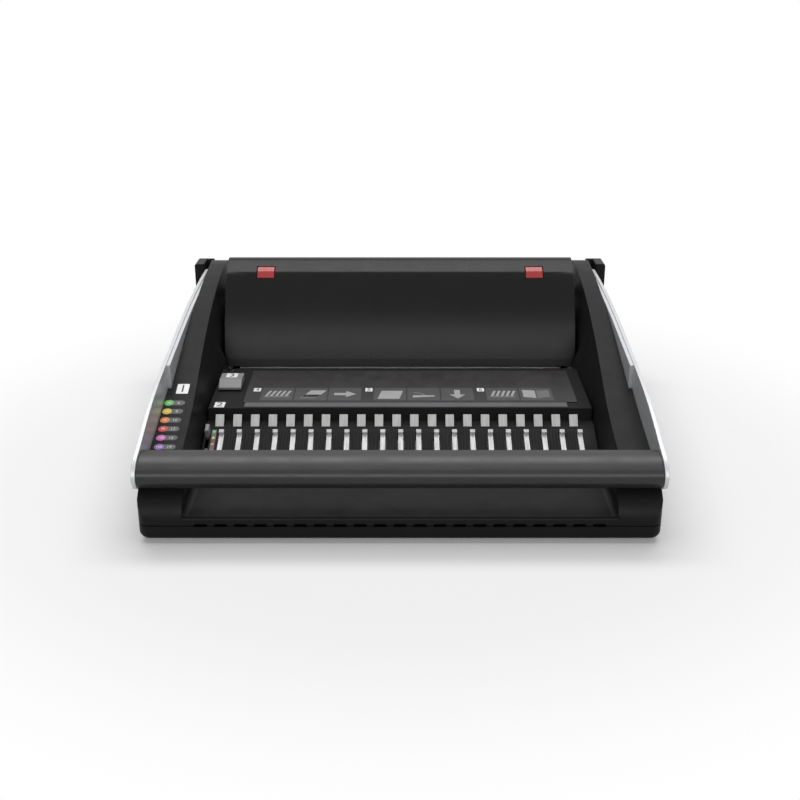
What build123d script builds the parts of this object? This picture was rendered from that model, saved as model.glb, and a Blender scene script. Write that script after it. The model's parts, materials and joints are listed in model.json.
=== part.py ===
from build123d import *

import math
import os

# Comb binding machine: a desktop punch and plastic-comb opener with a full-width handle.
#
# Drawing frame: Y runs back from the front edge and Z runs up from the underside of the body.
# save() carries each piece to the resting frame: origin on the table below the middle, +Z up,
# front towards -Y.

# ---- Sizes of the whole machine, mm ----
COMB_PITCH = 14.2875        # 9/16 inch, the standard comb pitch
BODY_WIDTH = 376.8
BODY_DEPTH = 370.0
CORNER_RADIUS = 8.0         # upright corners of the body in plan
WALL = 2.5                  # moulded plastic walls
SEAM_HEIGHT = 12.3          # parting line between base tray and housings
SEAM_GAP = 0.8              # shadow line along the parting line
SEAM_DEPTH = 1.2

# ---- Clearances ----
RUN_GAP = 0.05              # radial, shaft in bore
FIT_GAP = 0.1               # between screwed faces
SLIDE_GAP = 0.3             # sliding pieces and cam followers
ARM_GAP = 0.4               # between the handle arm and the housing
OPEN_GAP = 0.6              # around moving covers and plates
LID_GAP = 3.0               # shadow gap around the lid
OVERLAP = 1.0               # how far a cut runs past the face it opens

# ---- Chain of widths, from the outside inwards ----
BODY_HALF = BODY_WIDTH / 2
SIDE_WIDTH = 32.4           # side housing
WELL_HALF = BODY_HALF - SIDE_WIDTH
ARM_INNER = BODY_HALF - 1.4
ARM_PLATE = 3.0
ARM_FLANGE = 2.8            # extra thickness of the rear stretch, inwards
CHEEK_OUTER = ARM_INNER - ARM_GAP
CHEEK_OUTER_REAR = ARM_INNER - ARM_FLANGE - OPEN_GAP
CHEEK_WALL = 2.6
CHANNEL_WIDTH = 9.5         # mechanism channel in each side housing
CHANNEL_OUTER = CHEEK_OUTER_REAR - CHEEK_WALL
CHANNEL_INNER = CHANNEL_OUTER - CHANNEL_WIDTH
EAR_INNER = ARM_INNER + ARM_PLATE + OPEN_GAP
EAR_OUTER = EAR_INNER + 9.4
FRAME_PLATE = 2.9
FRAME_INNER = WELL_HALF - FIT_GAP - FRAME_PLATE     # inner faces of the punch frame's side plates

# As many comb positions as the width between the punch frame's plates allows.
ROW_MARGIN = 10.0
HALF_ROW = math.floor((FRAME_INNER - ROW_MARGIN) / COMB_PITCH)
COMB_HOLES = 2 * HALF_ROW + 1

# ---- Feet and screws ----
FOOT_RADIUS = 9.0
FOOT_HEIGHT = 2.5
FOOT_INSET = 30.0
FOOT_CHAMFER = 0.8
SCREW_RADIUS = 1.6
SCREW_HEAD_RADIUS = 3.4
SCREW_HEAD = 1.5
BOSS_RADIUS = 4.5
BOSS_HEIGHT = 8.0           # above the parting line
BOSS_INSET_X = 9.9
BOSS_INSET_Y = 44.0

# ---- Front ledge and seam slots ----
LEDGE_HEIGHT = 18.3
LEDGE_LIP = 2.0             # rounding along the front of the ledge
LEDGE_COVE = 4.6            # hollow rounding where the ledge meets the end blocks
LEDGE_RIB = 2.0
END_BLOCK_HEIGHT = 35.5
SEAM_SLOT_LENGTH = 9.25
SEAM_SLOT_HEIGHT = 2.5
TRAY_EDGE = 6.0             # rounding along the underside

# ---- Side housings; outlines are (share of the body's depth, height) ----
CHEEK_TOP = ((0.0797, 44.4), (0.135, 49), (0.27, 60.5), (0.405, 75.5), (0.54, 90), (0.676, 102), (0.811, 111),
             (0.951, 117))
REAR_SHOULDER = ((6.0, 3.0), (0.0, 10.0))           # (in from the back, down from the cheek's top)
# (share of the depth, out from the deck's edge, height)
CREASE = ((0.054, 5.5, 40.0), (0.173, 6.5, 52.0), (0.351, 8.0, 69.5), (0.5865, 11.0, 94.0), (1.003, 13.0, 119.0))
CREASE_REACH = 12.0         # how far the leaning face is cut past the crease
CHEEK_THICKNESS = 3.2       # under the cheek's top
ARM_STEP = 0.346 * BODY_DEPTH       # where the arm gets thicker and the wall steps in

# ---- Comb deck ----
DECK_START = 64.2           # where the slope leaves the ledge
DECK_ANGLE = 22.4
SLOPE_LENGTH = 54.0
TROUGH_HEIGHT = 40.5
STEP_Y = 131.5
PANEL_FRONT = 50.0
PANEL_REAR = 52.5
THROAT_FRONT = BODY_DEPTH - 134.0
PANEL_END = THROAT_FRONT - 19.0

# ---- Tines, fingers and the comb opener ----
TINE_WIDTH = 6.9
TINE_THICKNESS = 1.5
TINE_OFFSET = -2.7          # tine centre from its punch position
TINE_FOOT_Y = 117.3
TINE_TOP = (125.4, 47.2)
FINGER_WIDTH = 4.0
FINGER_OFFSET = 0.6
FINGER_START = 22.0         # along the slope
FINGER_LENGTH = 28.0
FINGER_END = FINGER_START + FINGER_LENGTH
FINGER_PROUD = 1.0
HOOK_HEIGHT = 4.2
HOOK_LENGTH = 3.0
CARRIAGE_THICKNESS = 2.2
CARRIAGE_TOP = -WALL - SLIDE_GAP - 0.2              # out from the deck's face
TONGUE = (26.0, 38.0)                               # along the slope
TONGUE_TOP = CARRIAGE_TOP - CARRIAGE_THICKNESS      # the tongues pass under the selector's shoe
OPENER_TRAVEL = 18.0
OPENER_ROD_RADIUS = 2.5
OPENER_ROD_DEPTH = 9.0      # rod axis below the deck face
ROD_BOSS = 4.0              # half width of the blocks that hold a rod
DRIVE_BAR_THICKNESS = 3.0
DRIVE_BAR_INNER = CHANNEL_INNER + 0.8

# ---- Comb size selector ----
SELECTOR_X = -WELL_HALF + 2.8
SELECTOR_WIDTH = 3.4
SELECTOR_STEM = 2.2
SELECTOR_SHOE = 3.8
SHOE_THICKNESS = 1.2
SELECTOR_LENGTH = 8.0
SELECTOR_HEIGHT = 8.0
SELECTOR_REST = 48.5        # along the slope
SELECTOR_TRAVEL = 38.0

# ---- Edge guide ----
GUIDE_X = (-WELL_HALF + 3.0, -WELL_HALF + 22.0)
GUIDE_Y = (PANEL_END - 49.0, PANEL_END - 25.0)
GUIDE_KNOB_HEIGHT = 6.5
GUIDE_RAMP = 9.0
GUIDE_TRAVEL = 3.2
GUIDE_STEM_WIDTH = 6.0
GUIDE_STEM = (GUIDE_Y[0] + 8.0, GUIDE_Y[0] + 16.0)
FENCE_X = -WELL_HALF + 3.6
FENCE_THICKNESS = 1.6

# ---- Punch unit ----
THROAT_WIDTH = 5.0
THROAT_REAR = THROAT_FRONT + THROAT_WIDTH
DIE_THICKNESS = 6.0
GUIDE_THICKNESS = 8.0
DIE_BOTTOM = 20.0
DIE_TOP = 45.5
GUIDE_DROP = 4.0            # rear guide plate below the die's top
PAPER_STOP_HEIGHT = 26.6
PUNCH_HEIGHT = 31.0
PIN_WIDTH = 8.0             # along the comb
PIN_THICKNESS = 2.9
PIN_TIP = THROAT_FRONT - 4.5
PUNCH_TRAVEL = 12.0
PUNCH_BAR_FRONT = THROAT_REAR + 21.0
PUNCH_BAR_DEPTH = 14.0
PUNCH_BAR_HEIGHT = 16.0
PUNCH_BAR_HALF = FRAME_INNER - 5.0
BAR_EDGE = 1.5
PUNCH_ROD_RADIUS = 2.5
PUNCH_ROD_HEIGHT = 26.3     # rods run below the pins
PUNCH_ROD_X = FRAME_INNER - 31.6
CROSSBAR_Y = PUNCH_BAR_FRONT + 38.0
CROSSBAR_DEPTH = 5.0
FRAME_TOP = 16.0            # frame plate above and around the shaft
FRAME_WINDOW = ((0.0, 24), (0.0, 40), (38.0, 70), (64.0, 70), (64.0, 24))     # (behind the guide plate, height)
WINDOW_START = THROAT_REAR + GUIDE_THICKNESS + 23.0

# ---- Handle ----
PIVOT_Y = BODY_DEPTH - 22.0
PIVOT_Z = 92.0
SHAFT_RADIUS = 6.0
BUSH_RADIUS = SHAFT_RADIUS + 3.0
BUSH_COLLAR = 1.6
BUSH_COLLAR_WIDTH = 2.5
HANDLE_SWING = 90.0         # degrees, from lying down to upright
ARM_RIM = 1.2               # plate edge left standing around the thicker stretch
ARM_FLANGE_START = ARM_STEP + 3.0
ARM_REAR_RADIUS = 16.5
ARM_UPPER = ((0.0027, 48.0), (0.0122, 55.0), (0.0557, 62.0), (0.1405, 72.0), (0.265, 83.2), (0.43, 92.3),
             (0.6216, 101.8), (0.8108, 107.2))
ARM_LOWER = ((0.8108, 78.0), (0.6216, 71.0), (0.4054, 59.5), (0.1622, 43.5), (0.0432, 36.4))
ARM_NOSE = (4.8, 39.8)
RECESS_DROP = 1.2           # housing below the arm's lower edge
BAR_BOTTOM = 36.0
BAR_TOP = 59.6
BAR_REAR = 27.5
TUBE_RADIUS = 7.0
TUBE_WALL = 1.5
TUBE_Y = 15.5
TUBE_Z = 48.0

# ---- Cams on the cross shaft ----
CAM_THICKNESS = 4.0
CAM_BASE_RADIUS = 9.0
CAM_HUB = CAM_BASE_RADIUS - OPEN_GAP
CAM_X = FRAME_INNER - 23.0
PUNCH_FOLLOWER_RADIUS = 7.0
OPENER_CAM_X = DRIVE_BAR_INNER + DRIVE_BAR_THICKNESS + 0.7 + CAM_THICKNESS / 2
OPENER_FOLLOWER_RADIUS = 5.0
PUNCH_CONTACT = math.pi                             # where the followers touch, seen from the shaft
OPENER_CONTACT = math.pi + math.radians(DECK_ANGLE)

# ---- Lid, latches, rear cover and chip tray; the lid's outline is (in from the back, height) ----
LID_HALF = WELL_HALF + LID_GAP
LID_FRONT = ((126.5, 46.0), (112.0, 85.5), (86.0, 124.0))
LID_CREST = (67.0, 132.6)
LID_REAR = (16.0, 117.5)
LID_CREST_RADIUS = 16.0
HINGE_Y = BODY_DEPTH - 8.0
HINGE_Z = 113.0
HINGE_PIN_RADIUS = 2.0
KNUCKLE_RADIUS = 4.2
KNUCKLE_LENGTH = 14.0
FIXED_KNUCKLE = 8.0
HINGE_X = WELL_HALF * 2 / 3
LATCH_X = WELL_HALF - 33.0
LATCH_WIDTH = 15.5
LATCH_LENGTH = 12.5
LATCH_DEPTH = 7.0
REAR_WALL_BOTTOM = 20.0
REAR_WALL_TOP = 112.5
SHELF_TOP = 108.0
SHELF_DEPTH = 15.5
TRAY_HALF = WELL_HALF - 6.0
TRAY_FRONT = BODY_DEPTH - 165.0
TRAY_HEIGHT = 17.5
TRAY_WALL = 2.0
TRAY_FLOOR_GAP = 0.5
TRAY_FACE = 3.0
GRIP_HALF = 28.0
GRIP_DEPTH = 1.6
GRIP_MARGIN = 4.0
EAR_FRONT = PIVOT_Y - 1.0
EAR_BOTTOM = 86.0
EAR_TOP = 114.5
EAR_WEB = 4.0
EAR_ROUNDING = 2.5

SLOPE = math.radians(DECK_ANGLE)
SWING = math.radians(HANDLE_SWING)
ABOVE_ALL = PIVOT_Z + 100.0
LID_EDGE = [(BODY_DEPTH - back, z) for back, z in LID_FRONT]


# ---- Shared ways of building ----

def face(points):
    """Closed outline in the side view, from (y, z) points."""
    return make_face(Polyline(*points, close=True))


def outline(*curves):
    """Closed outline in the side view, from curves laid end to end."""
    return make_face(Wire(Curve(children=list(curves)).edges()))


def across(sketch, x_from, x_to):
    """Solid that runs across the machine from x_from to x_to."""
    return extrude(Plane.YZ.offset(x_from) * sketch, x_to - x_from)


def block(x_span, y_span, z_span):
    size = [high - low for low, high in (x_span, y_span, z_span)]
    corner = Location((x_span[0], y_span[0], z_span[0]))
    return corner * Box(*size, align=(Align.MIN, Align.MIN, Align.MIN))


def rod(x_from, x_to, y, z, radius):
    """Round bar across the machine."""
    return across(Location((y, z)) * Circle(radius), x_from, x_to)


def post(x, y, z_from, z_to, radius):
    """Upright round post."""
    base = Location((x, y, z_from))
    return base * Cylinder(radius, z_to - z_from, align=(Align.CENTER, Align.CENTER, Align.MIN))


def on_slope(s, n):
    """Point (y, z) that lies s up the deck's slope and n out from its face."""
    y = DECK_START + s * math.cos(SLOPE) - n * math.sin(SLOPE)
    z = LEDGE_HEIGHT + s * math.sin(SLOPE) + n * math.cos(SLOPE)
    return (y, z)


def slope_block(x_span, s_span, n_span):
    corners = [(s_span[0], n_span[0]), (s_span[1], n_span[0]), (s_span[1], n_span[1]), (s_span[0], n_span[1])]
    return across(face([on_slope(s, n) for s, n in corners]), x_span[0], x_span[1])


def slope_rod(x, s_from, s_to, n, radius):
    y, z = on_slope(s_from, n)
    along = Plane(origin=(x, y, z), x_dir=(1, 0, 0), z_dir=(0, math.cos(SLOPE), math.sin(SLOPE)))
    return extrude(along * Circle(radius), s_to - s_from)


def mirrored(shape):
    return mirror(shape, about=Plane.YZ)


def pitch_positions(shift=0.0):
    middle = (COMB_HOLES - 1) / 2
    return [(i - middle) * COMB_PITCH + shift for i in range(COMB_HOLES)]


def moved_in(points, depth):
    """The points of a curve moved square to it by the depth, to the right of its direction."""
    moved = []
    for i, (y, z) in enumerate(points):
        before = points[max(i - 1, 0)]
        after = points[min(i + 1, len(points) - 1)]
        dy = after[0] - before[0]
        dz = after[1] - before[1]
        length = math.hypot(dy, dz)
        moved.append((y + depth * dz / length, z - depth * dy / length))
    return moved


def save(node, *shapes):
    os.makedirs("parts", exist_ok=True)
    solids = [solid for shape in shapes for solid in shape.solids()]
    whole = solids[0] if len(solids) == 1 else Compound(solids)
    export_step(whole.moved(Location((0, -BODY_DEPTH / 2, FOOT_HEIGHT))), f"parts/{node}.step")


def save_pair(name, right):
    """A piece drawn on the right, at positive X, and its mirror image on the left."""
    save(f"{name}_right", right)
    save(f"{name}_left", mirrored(right))


def along_depth(points):
    """Outline points given as (share of the body's depth, height)."""
    return [(share * BODY_DEPTH, z) for share, z in points]


def arcs_through(points):
    """Arcs through every second point, each bending through the point between."""
    return [ThreePointArc(*points[i:i + 3]) for i in range(0, len(points) - 2, 2)]


footprint = Location((0, BODY_DEPTH / 2)) * extrude(RectangleRounded(BODY_WIDTH, BODY_DEPTH, CORNER_RADIUS), ABOVE_ALL)


# ---- Base tray, feet and screws ----

def seam_slots():
    """Vent slots that straddle the parting line, one for each punch position."""
    z_span = (SEAM_HEIGHT - SEAM_SLOT_HEIGHT / 2, SEAM_HEIGHT + SEAM_SLOT_HEIGHT / 2)
    half = SEAM_SLOT_LENGTH / 2
    y_span = (-OVERLAP, WALL + OVERLAP)
    return [block((x - half, x + half), y_span, z_span) for x in pitch_positions()]


def boss_places():
    x = BODY_HALF - BOSS_INSET_X
    return [(side * x, y) for side in (-1, 1) for y in (BOSS_INSET_Y, BODY_DEPTH - BOSS_INSET_Y)]


def plan(inset):
    """Outline of the body seen from above, drawn in by the inset."""
    sketch = RectangleRounded(BODY_WIDTH - 2 * inset, BODY_DEPTH - 2 * inset, CORNER_RADIUS - inset)
    return Location((0, BODY_DEPTH / 2)) * sketch


def make_base_tray():
    """Shallow tub with a stepped upper edge, so a shadow line runs along the parting line."""
    tub = extrude(plan(0), SEAM_HEIGHT - SEAM_GAP)
    tub = fillet(tub.faces().sort_by(Axis.Z)[0].edges(), TRAY_EDGE)
    tub += extrude(Plane.XY.offset(SEAM_HEIGHT - SEAM_GAP) * plan(SEAM_DEPTH), SEAM_GAP)
    tub -= extrude(Plane.XY.offset(WALL) * plan(WALL), SEAM_HEIGHT)
    tub -= block((-WELL_HALF, WELL_HALF), (BODY_DEPTH - 2 * WALL, BODY_DEPTH + OVERLAP), (WALL, SEAM_HEIGHT + OVERLAP))
    tub -= seam_slots()
    for x, y in boss_places():
        tub -= post(x, y, -OVERLAP, SCREW_HEAD, SCREW_HEAD_RADIUS + SLIDE_GAP)
        tub -= post(x, y, -OVERLAP, WALL + OVERLAP, SCREW_RADIUS + SLIDE_GAP)
    return tub


def make_feet():
    x = BODY_HALF - FOOT_INSET
    feet = []
    for side in (-1, 1):
        for y in (FOOT_INSET, BODY_DEPTH - FOOT_INSET):
            foot = post(side * x, y, -FOOT_HEIGHT, 0, FOOT_RADIUS)
            feet.append(chamfer(foot.faces().sort_by(Axis.Z)[0].edges(), FOOT_CHAMFER))
    return feet


def make_base_screws():
    screws = []
    for x, y in boss_places():
        head = post(x, y, 0, SCREW_HEAD, SCREW_HEAD_RADIUS)
        screws.append(head + post(x, y, SCREW_HEAD, SEAM_HEIGHT, SCREW_RADIUS))
    return screws


save("base_tray", make_base_tray())
save("rubber_feet", *make_feet())
save("base_screws", *make_base_screws())


# ---- Front ledge ----

def make_front_ledge():
    """Shelf across the front with a rounded lip, a hollow rounding at each end and ribs below."""
    under = LEDGE_HEIGHT - WALL
    section = face([(0, SEAM_HEIGHT), (0, LEDGE_HEIGHT), (DECK_START, LEDGE_HEIGHT), (DECK_START, under),
                    (WALL, under), (WALL, SEAM_HEIGHT)])
    lip = section.vertices().group_by(Axis.X)[0].sort_by(Axis.Y)[-1]
    ledge = across(fillet(lip, LEDGE_LIP), -WELL_HALF, WELL_HALF)
    inner = WELL_HALF - LEDGE_COVE
    cove = block((inner, WELL_HALF), (LEDGE_LIP, DECK_START), (LEDGE_HEIGHT, LEDGE_HEIGHT + LEDGE_COVE))
    hollow = Plane.XZ * Location((inner, LEDGE_HEIGHT + LEDGE_COVE)) * Circle(LEDGE_COVE)
    cove -= extrude(hollow, -DECK_START)
    ledge += [cove, mirrored(cove)]
    for x in pitch_positions(COMB_PITCH / 2)[1:-1:4]:
        ledge += block((x - LEDGE_RIB / 2, x + LEDGE_RIB / 2), (WALL, DECK_START), (SEAM_HEIGHT, under))
    return ledge - seam_slots()


save("front_ledge", make_front_ledge())


# ---- Side housings ----

def from_back(point):
    return (BODY_DEPTH - point[0], point[1])


def lid_face():
    """Side outline of the lid, closed by a chord from its rear edge to its lower edge."""
    top = Polyline(LID_EDGE[-1], from_back(LID_CREST), from_back(LID_REAR), LID_EDGE[0])
    sketch = outline(ThreePointArc(*LID_EDGE), top)
    crest = sketch.vertices().sort_by(Axis.Y)[-1]
    return fillet(crest, LID_CREST_RADIUS)


def well_space():
    """Space between the side housings: upright at deck level, leaning outwards to the crease."""
    sections = []
    rise = (PANEL_REAR - LEDGE_HEIGHT) / (STEP_Y - DECK_START + SLOPE_LENGTH)
    for share, outward, crease_z in CREASE:
        y = share * BODY_DEPTH
        floor_z = min(max(LEDGE_HEIGHT, LEDGE_HEIGHT + (y - DECK_START) * rise), PANEL_REAR)
        lean = outward / (crease_z - floor_z)
        top_z = crease_z + CREASE_REACH
        top_x = WELL_HALF + outward + CREASE_REACH * lean
        corners = [(0, floor_z), (WELL_HALF, floor_z), (top_x, top_z), (0, top_z)]
        plane = Plane(origin=(0, y, 0), x_dir=(1, 0, 0), z_dir=(0, -1, 0))
        sections.append(plane * make_face(Polyline(*corners, close=True)))
    return loft(sections, ruled=True)


def lid_pocket():
    """Room for the lid's side wall while it turns about its hinge."""
    y, z = LID_EDGE[0]
    reach = math.hypot(HINGE_Y - y, HINGE_Z - z) + LID_GAP / 2
    sweep = Location((HINGE_Y, HINGE_Z)) * Circle(reach)
    front = HINGE_Y - reach - OVERLAP
    rear = BODY_DEPTH + OVERLAP
    low = z - LID_GAP
    window = face([(front, low), (rear, low), (rear, ABOVE_ALL), (front, ABOVE_ALL)])
    return across(sweep & window, 0, LID_HALF + LID_GAP)


def arm_recess(x_from):
    """Room outside the cheek for the handle arm."""
    lower = [(y, z - RECESS_DROP) for y, z in reversed(along_depth(ARM_LOWER))]
    rear = BODY_DEPTH + OVERLAP
    outer = [(rear, PIVOT_Z - ARM_REAR_RADIUS - 1.5), (rear, ABOVE_ALL), (-OVERLAP, ABOVE_ALL)]
    return across(face([(-OVERLAP, END_BLOCK_HEIGHT - 0.8)] + lower + outer), x_from, BODY_HALF + OVERLAP)


def make_side_housing():
    """Right-hand housing: end block, cheek and rear shoulder in one moulding."""
    top_points = along_depth(CHEEK_TOP)
    foot_y, shoulder = top_points[0][0] - 1.0, top_points[-1]
    nose = Spline((0, 15.5), (0.6, 19.4), (2.4, 23.6), (7.5, 30.0), (14.5, END_BLOCK_HEIGHT))
    rest = Polyline((14.5, END_BLOCK_HEIGHT), (foot_y, END_BLOCK_HEIGHT), top_points[0])
    corners = [(BODY_DEPTH - back, shoulder[1] - drop) for back, drop in REAR_SHOULDER]
    back = Polyline(shoulder, *corners, (BODY_DEPTH, SEAM_HEIGHT), (0, SEAM_HEIGHT), (0, 15.5))
    body = across(outline(nose, rest, Spline(*top_points), back), WELL_HALF, BODY_HALF)
    body &= footprint
    body -= well_space()
    body -= lid_pocket()
    body -= arm_recess(CHEEK_OUTER)
    rear_part = block((0, BODY_WIDTH), (ARM_STEP, BODY_DEPTH + OVERLAP), (0, ABOVE_ALL))
    body -= arm_recess(CHEEK_OUTER_REAR) & rear_part
    body -= mechanism_space()
    body -= rod(WELL_HALF - OVERLAP, BODY_HALF + OVERLAP, PIVOT_Y, PIVOT_Z, SHAFT_RADIUS + OPEN_GAP)
    for x, y in boss_places():
        if x > 0:
            body += post(x, y, WALL, SEAM_HEIGHT + BOSS_HEIGHT, BOSS_RADIUS)
            body -= post(x, y, WALL - OVERLAP, SEAM_HEIGHT + OVERLAP, SCREW_RADIUS + RUN_GAP)
    return body


def mechanism_space():
    """Channel for the drive bar and the cams, open below, with a window towards the finger plate."""
    inset = [(y, z - CHEEK_THICKNESS) for y, z in along_depth(CHEEK_TOP)]
    low = SEAM_HEIGHT - OVERLAP
    rear = BODY_DEPTH - WALL - OVERLAP
    front = 12.0
    space = across(face([(front, low), (front, END_BLOCK_HEIGHT - 6), (BAR_REAR - 1.5, END_BLOCK_HEIGHT - WALL)] + inset[1:]
                        + [(rear, inset[-1][1] - 6), (rear, low)]), CHANNEL_INNER, CHANNEL_OUTER)
    under_deck = [on_slope(0, -WALL), on_slope(SLOPE_LENGTH, -WALL)]
    below = face([(front, low), (front, LEDGE_HEIGHT - WALL)] + under_deck
                 + [(STEP_Y, TROUGH_HEIGHT - WALL), (rear, TROUGH_HEIGHT - WALL), (rear, low)])
    space += across(below, WELL_HALF + WALL, CHANNEL_OUTER)
    clear = -WALL - SLIDE_GAP
    window = face([(DECK_START + 4, low), on_slope(2, clear), on_slope(SLOPE_LENGTH - 4, clear),
                   (DECK_START + SLOPE_LENGTH - 6, low)])
    return space + across(window, WELL_HALF - OVERLAP, WELL_HALF + 2 * WALL)


side_housing = make_side_housing()
save_pair("side_housing", side_housing)


def make_pivot_ear():
    """Right-hand ear that wraps the rear end of the handle arm."""
    ear = block((EAR_INNER, EAR_OUTER), (EAR_FRONT, BODY_DEPTH), (EAR_BOTTOM, EAR_TOP))
    ear += block((CHEEK_OUTER_REAR, EAR_OUTER), (BODY_DEPTH - EAR_WEB, BODY_DEPTH), (EAR_BOTTOM, EAR_TOP))
    outer = ear.edges().filter_by(Axis.Y).group_by(Axis.X)[-1]
    return fillet(outer, EAR_ROUNDING)


pivot_ear = make_pivot_ear()
save_pair("pivot_ear", pivot_ear)


# ---- Comb deck and what lies on it ----

def panel_height(y):
    return PANEL_FRONT + (PANEL_REAR - PANEL_FRONT) * (y - STEP_Y) / (PANEL_END - STEP_Y)


def make_comb_deck():
    """Slope with finger slots, trough behind the tines, flat panel and rolled lip into the throat."""
    crest = on_slope(SLOPE_LENGTH, 0)
    die_front = THROAT_FRONT - DIE_THICKNESS
    upper = [(DECK_START, LEDGE_HEIGHT), crest, (crest[0] + 3, TROUGH_HEIGHT), (STEP_Y - 1.5, TROUGH_HEIGHT),
             (STEP_Y, PANEL_FRONT), (PANEL_END, PANEL_REAR), (THROAT_FRONT - 1, DIE_TOP + 1.5), (THROAT_FRONT, DIE_TOP)]
    lower = [(die_front, DIE_TOP), (die_front - 3, DIE_TOP), (PANEL_END, PANEL_REAR - WALL),
             (STEP_Y + WALL, PANEL_FRONT - WALL), (STEP_Y + 1, TROUGH_HEIGHT - WALL),
             (crest[0] + 3, TROUGH_HEIGHT - WALL), on_slope(SLOPE_LENGTH, -WALL), on_slope(0, -WALL),
             (DECK_START, LEDGE_HEIGHT - WALL)]
    deck = across(face(upper + lower), -WELL_HALF, WELL_HALF)
    through_slope = (-WALL - OVERLAP, OVERLAP)
    half = FINGER_WIDTH / 2 + OPEN_GAP
    slot_span = (FINGER_START - OPENER_TRAVEL - OVERLAP, FINGER_END + OVERLAP)
    for x in pitch_positions(FINGER_OFFSET):
        deck -= slope_block((x - half, x + half), slot_span, through_slope)
    half = TINE_WIDTH / 2 + OPEN_GAP
    for x in pitch_positions(TINE_OFFSET):
        deck -= block((x - half, x + half), (TINE_FOOT_Y - OPEN_GAP, TINE_FOOT_Y + 5.5),
                      (TROUGH_HEIGHT - WALL - OVERLAP, TROUGH_HEIGHT + OVERLAP))
    hanger = (-OPENER_ROD_DEPTH - OPENER_ROD_RADIUS - OVERLAP, -WALL)
    for x in opener_rod_places():
        for s_from in (0.0, SLOPE_LENGTH - 3.0):
            deck += slope_block((x - ROD_BOSS, x + ROD_BOSS), (s_from, s_from + 3), hanger)
        deck -= slope_rod(x, -2, SLOPE_LENGTH + 2, -OPENER_ROD_DEPTH, OPENER_ROD_RADIUS + RUN_GAP)
    stem = SELECTOR_STEM / 2 + SLIDE_GAP
    travel = (SELECTOR_REST - SELECTOR_TRAVEL - 2.5, SELECTOR_REST + 2.5)
    deck -= slope_block((SELECTOR_X - stem, SELECTOR_X + stem), travel, through_slope)
    through_panel = (DIE_TOP - WALL, PANEL_REAR + WALL)
    gap_left = FENCE_X - ARM_GAP
    gap_right = FENCE_X + GUIDE_TRAVEL + ARM_GAP
    deck -= block((gap_left, gap_right + GUIDE_STEM_WIDTH), (GUIDE_STEM[0] - ARM_GAP, GUIDE_STEM[1] + ARM_GAP),
                  through_panel)
    deck -= block((gap_left, gap_right + FENCE_THICKNESS), (PANEL_END - 4, THROAT_FRONT + WALL), through_panel)
    return deck


def opener_rod_places():
    reach = (HALF_ROW - 3.5) * COMB_PITCH
    return [FINGER_OFFSET - reach, FINGER_OFFSET + reach]


def make_panel_strip(x_span, y_span, thickness):
    low = [(y, panel_height(y)) for y in y_span]
    high = [(y, z + thickness) for y, z in reversed(low)]
    return across(face(low + high), x_span[0], x_span[1])


def make_tine_plate():
    """Steel strip under the trough with an upright tine for each comb ring."""
    under = TROUGH_HEIGHT - WALL
    foot = under - TINE_THICKNESS / 3
    plate = block((-WELL_HALF + 4, WELL_HALF - 4), (TINE_FOOT_Y, STEP_Y), (under - TINE_THICKNESS, under))
    top_y, top_z = TINE_TOP
    lean = math.atan2(top_y - TINE_FOOT_Y, top_z - under)
    dy = TINE_THICKNESS * math.cos(lean)
    dz = TINE_THICKNESS * math.sin(lean)
    tine = face([(TINE_FOOT_Y, foot), (TINE_FOOT_Y + 1.9, foot), (top_y + dy, top_z - dz), (top_y, top_z)])
    for x in pitch_positions(TINE_OFFSET):
        plate += across(tine, x - TINE_WIDTH / 2, x + TINE_WIDTH / 2)
    return plate


save("comb_deck", make_comb_deck())
save("tine_plate", make_tine_plate())
save("instruction_plate", make_panel_strip((-WELL_HALF + 27, WELL_HALF - 10), (STEP_Y + 11.5, PANEL_END - 4.5), 0.8))
save("deck_trim", make_panel_strip((-WELL_HALF + 29, WELL_HALF - 19.5), (STEP_Y + 1, STEP_Y + 9.5), 1.2))
save("opener_guide_rods", *[slope_rod(x, 0, SLOPE_LENGTH, -OPENER_ROD_DEPTH, OPENER_ROD_RADIUS)
                            for x in opener_rod_places()])


# ---- Comb opener: finger plate and its drive bars ----

def make_finger_plate():
    """Sliding sheet under the deck whose ribs stand through the slots and hook the comb rings."""
    bottom = CARRIAGE_TOP - CARRIAGE_THICKNESS
    half = WELL_HALF - 6
    plate = slope_block((-half, half), (FINGER_START - 1, FINGER_END - 6), (bottom, CARRIAGE_TOP))
    for x_span in ((-DRIVE_BAR_INNER, -half + 10), (half - 10, DRIVE_BAR_INNER)):
        plate += slope_block(x_span, TONGUE, (TONGUE_TOP - CARRIAGE_THICKNESS, TONGUE_TOP))
    rib = face([on_slope(FINGER_START, CARRIAGE_TOP), on_slope(FINGER_END, CARRIAGE_TOP),
                on_slope(FINGER_END, HOOK_HEIGHT), on_slope(FINGER_END - HOOK_LENGTH, HOOK_HEIGHT - 0.6),
                on_slope(FINGER_END - HOOK_LENGTH, FINGER_PROUD), on_slope(FINGER_START, FINGER_PROUD)])
    for x in pitch_positions(FINGER_OFFSET):
        plate += across(rib, x - FINGER_WIDTH / 2, x + FINGER_WIDTH / 2)
    for x in opener_rod_places():
        plate += slope_block((x - ROD_BOSS, x + ROD_BOSS), (TONGUE[0] - 2, TONGUE[1] - 4),
                             (-OPENER_ROD_DEPTH - OPENER_ROD_RADIUS - OVERLAP, bottom))
        plate -= slope_rod(x, 0, SLOPE_LENGTH, -OPENER_ROD_DEPTH, OPENER_ROD_RADIUS + RUN_GAP)
    return plate


def follower_centre(radius, distance, angle):
    reach = radius + distance
    return (PIVOT_Y + reach * math.cos(angle), PIVOT_Z + reach * math.sin(angle))


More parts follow.
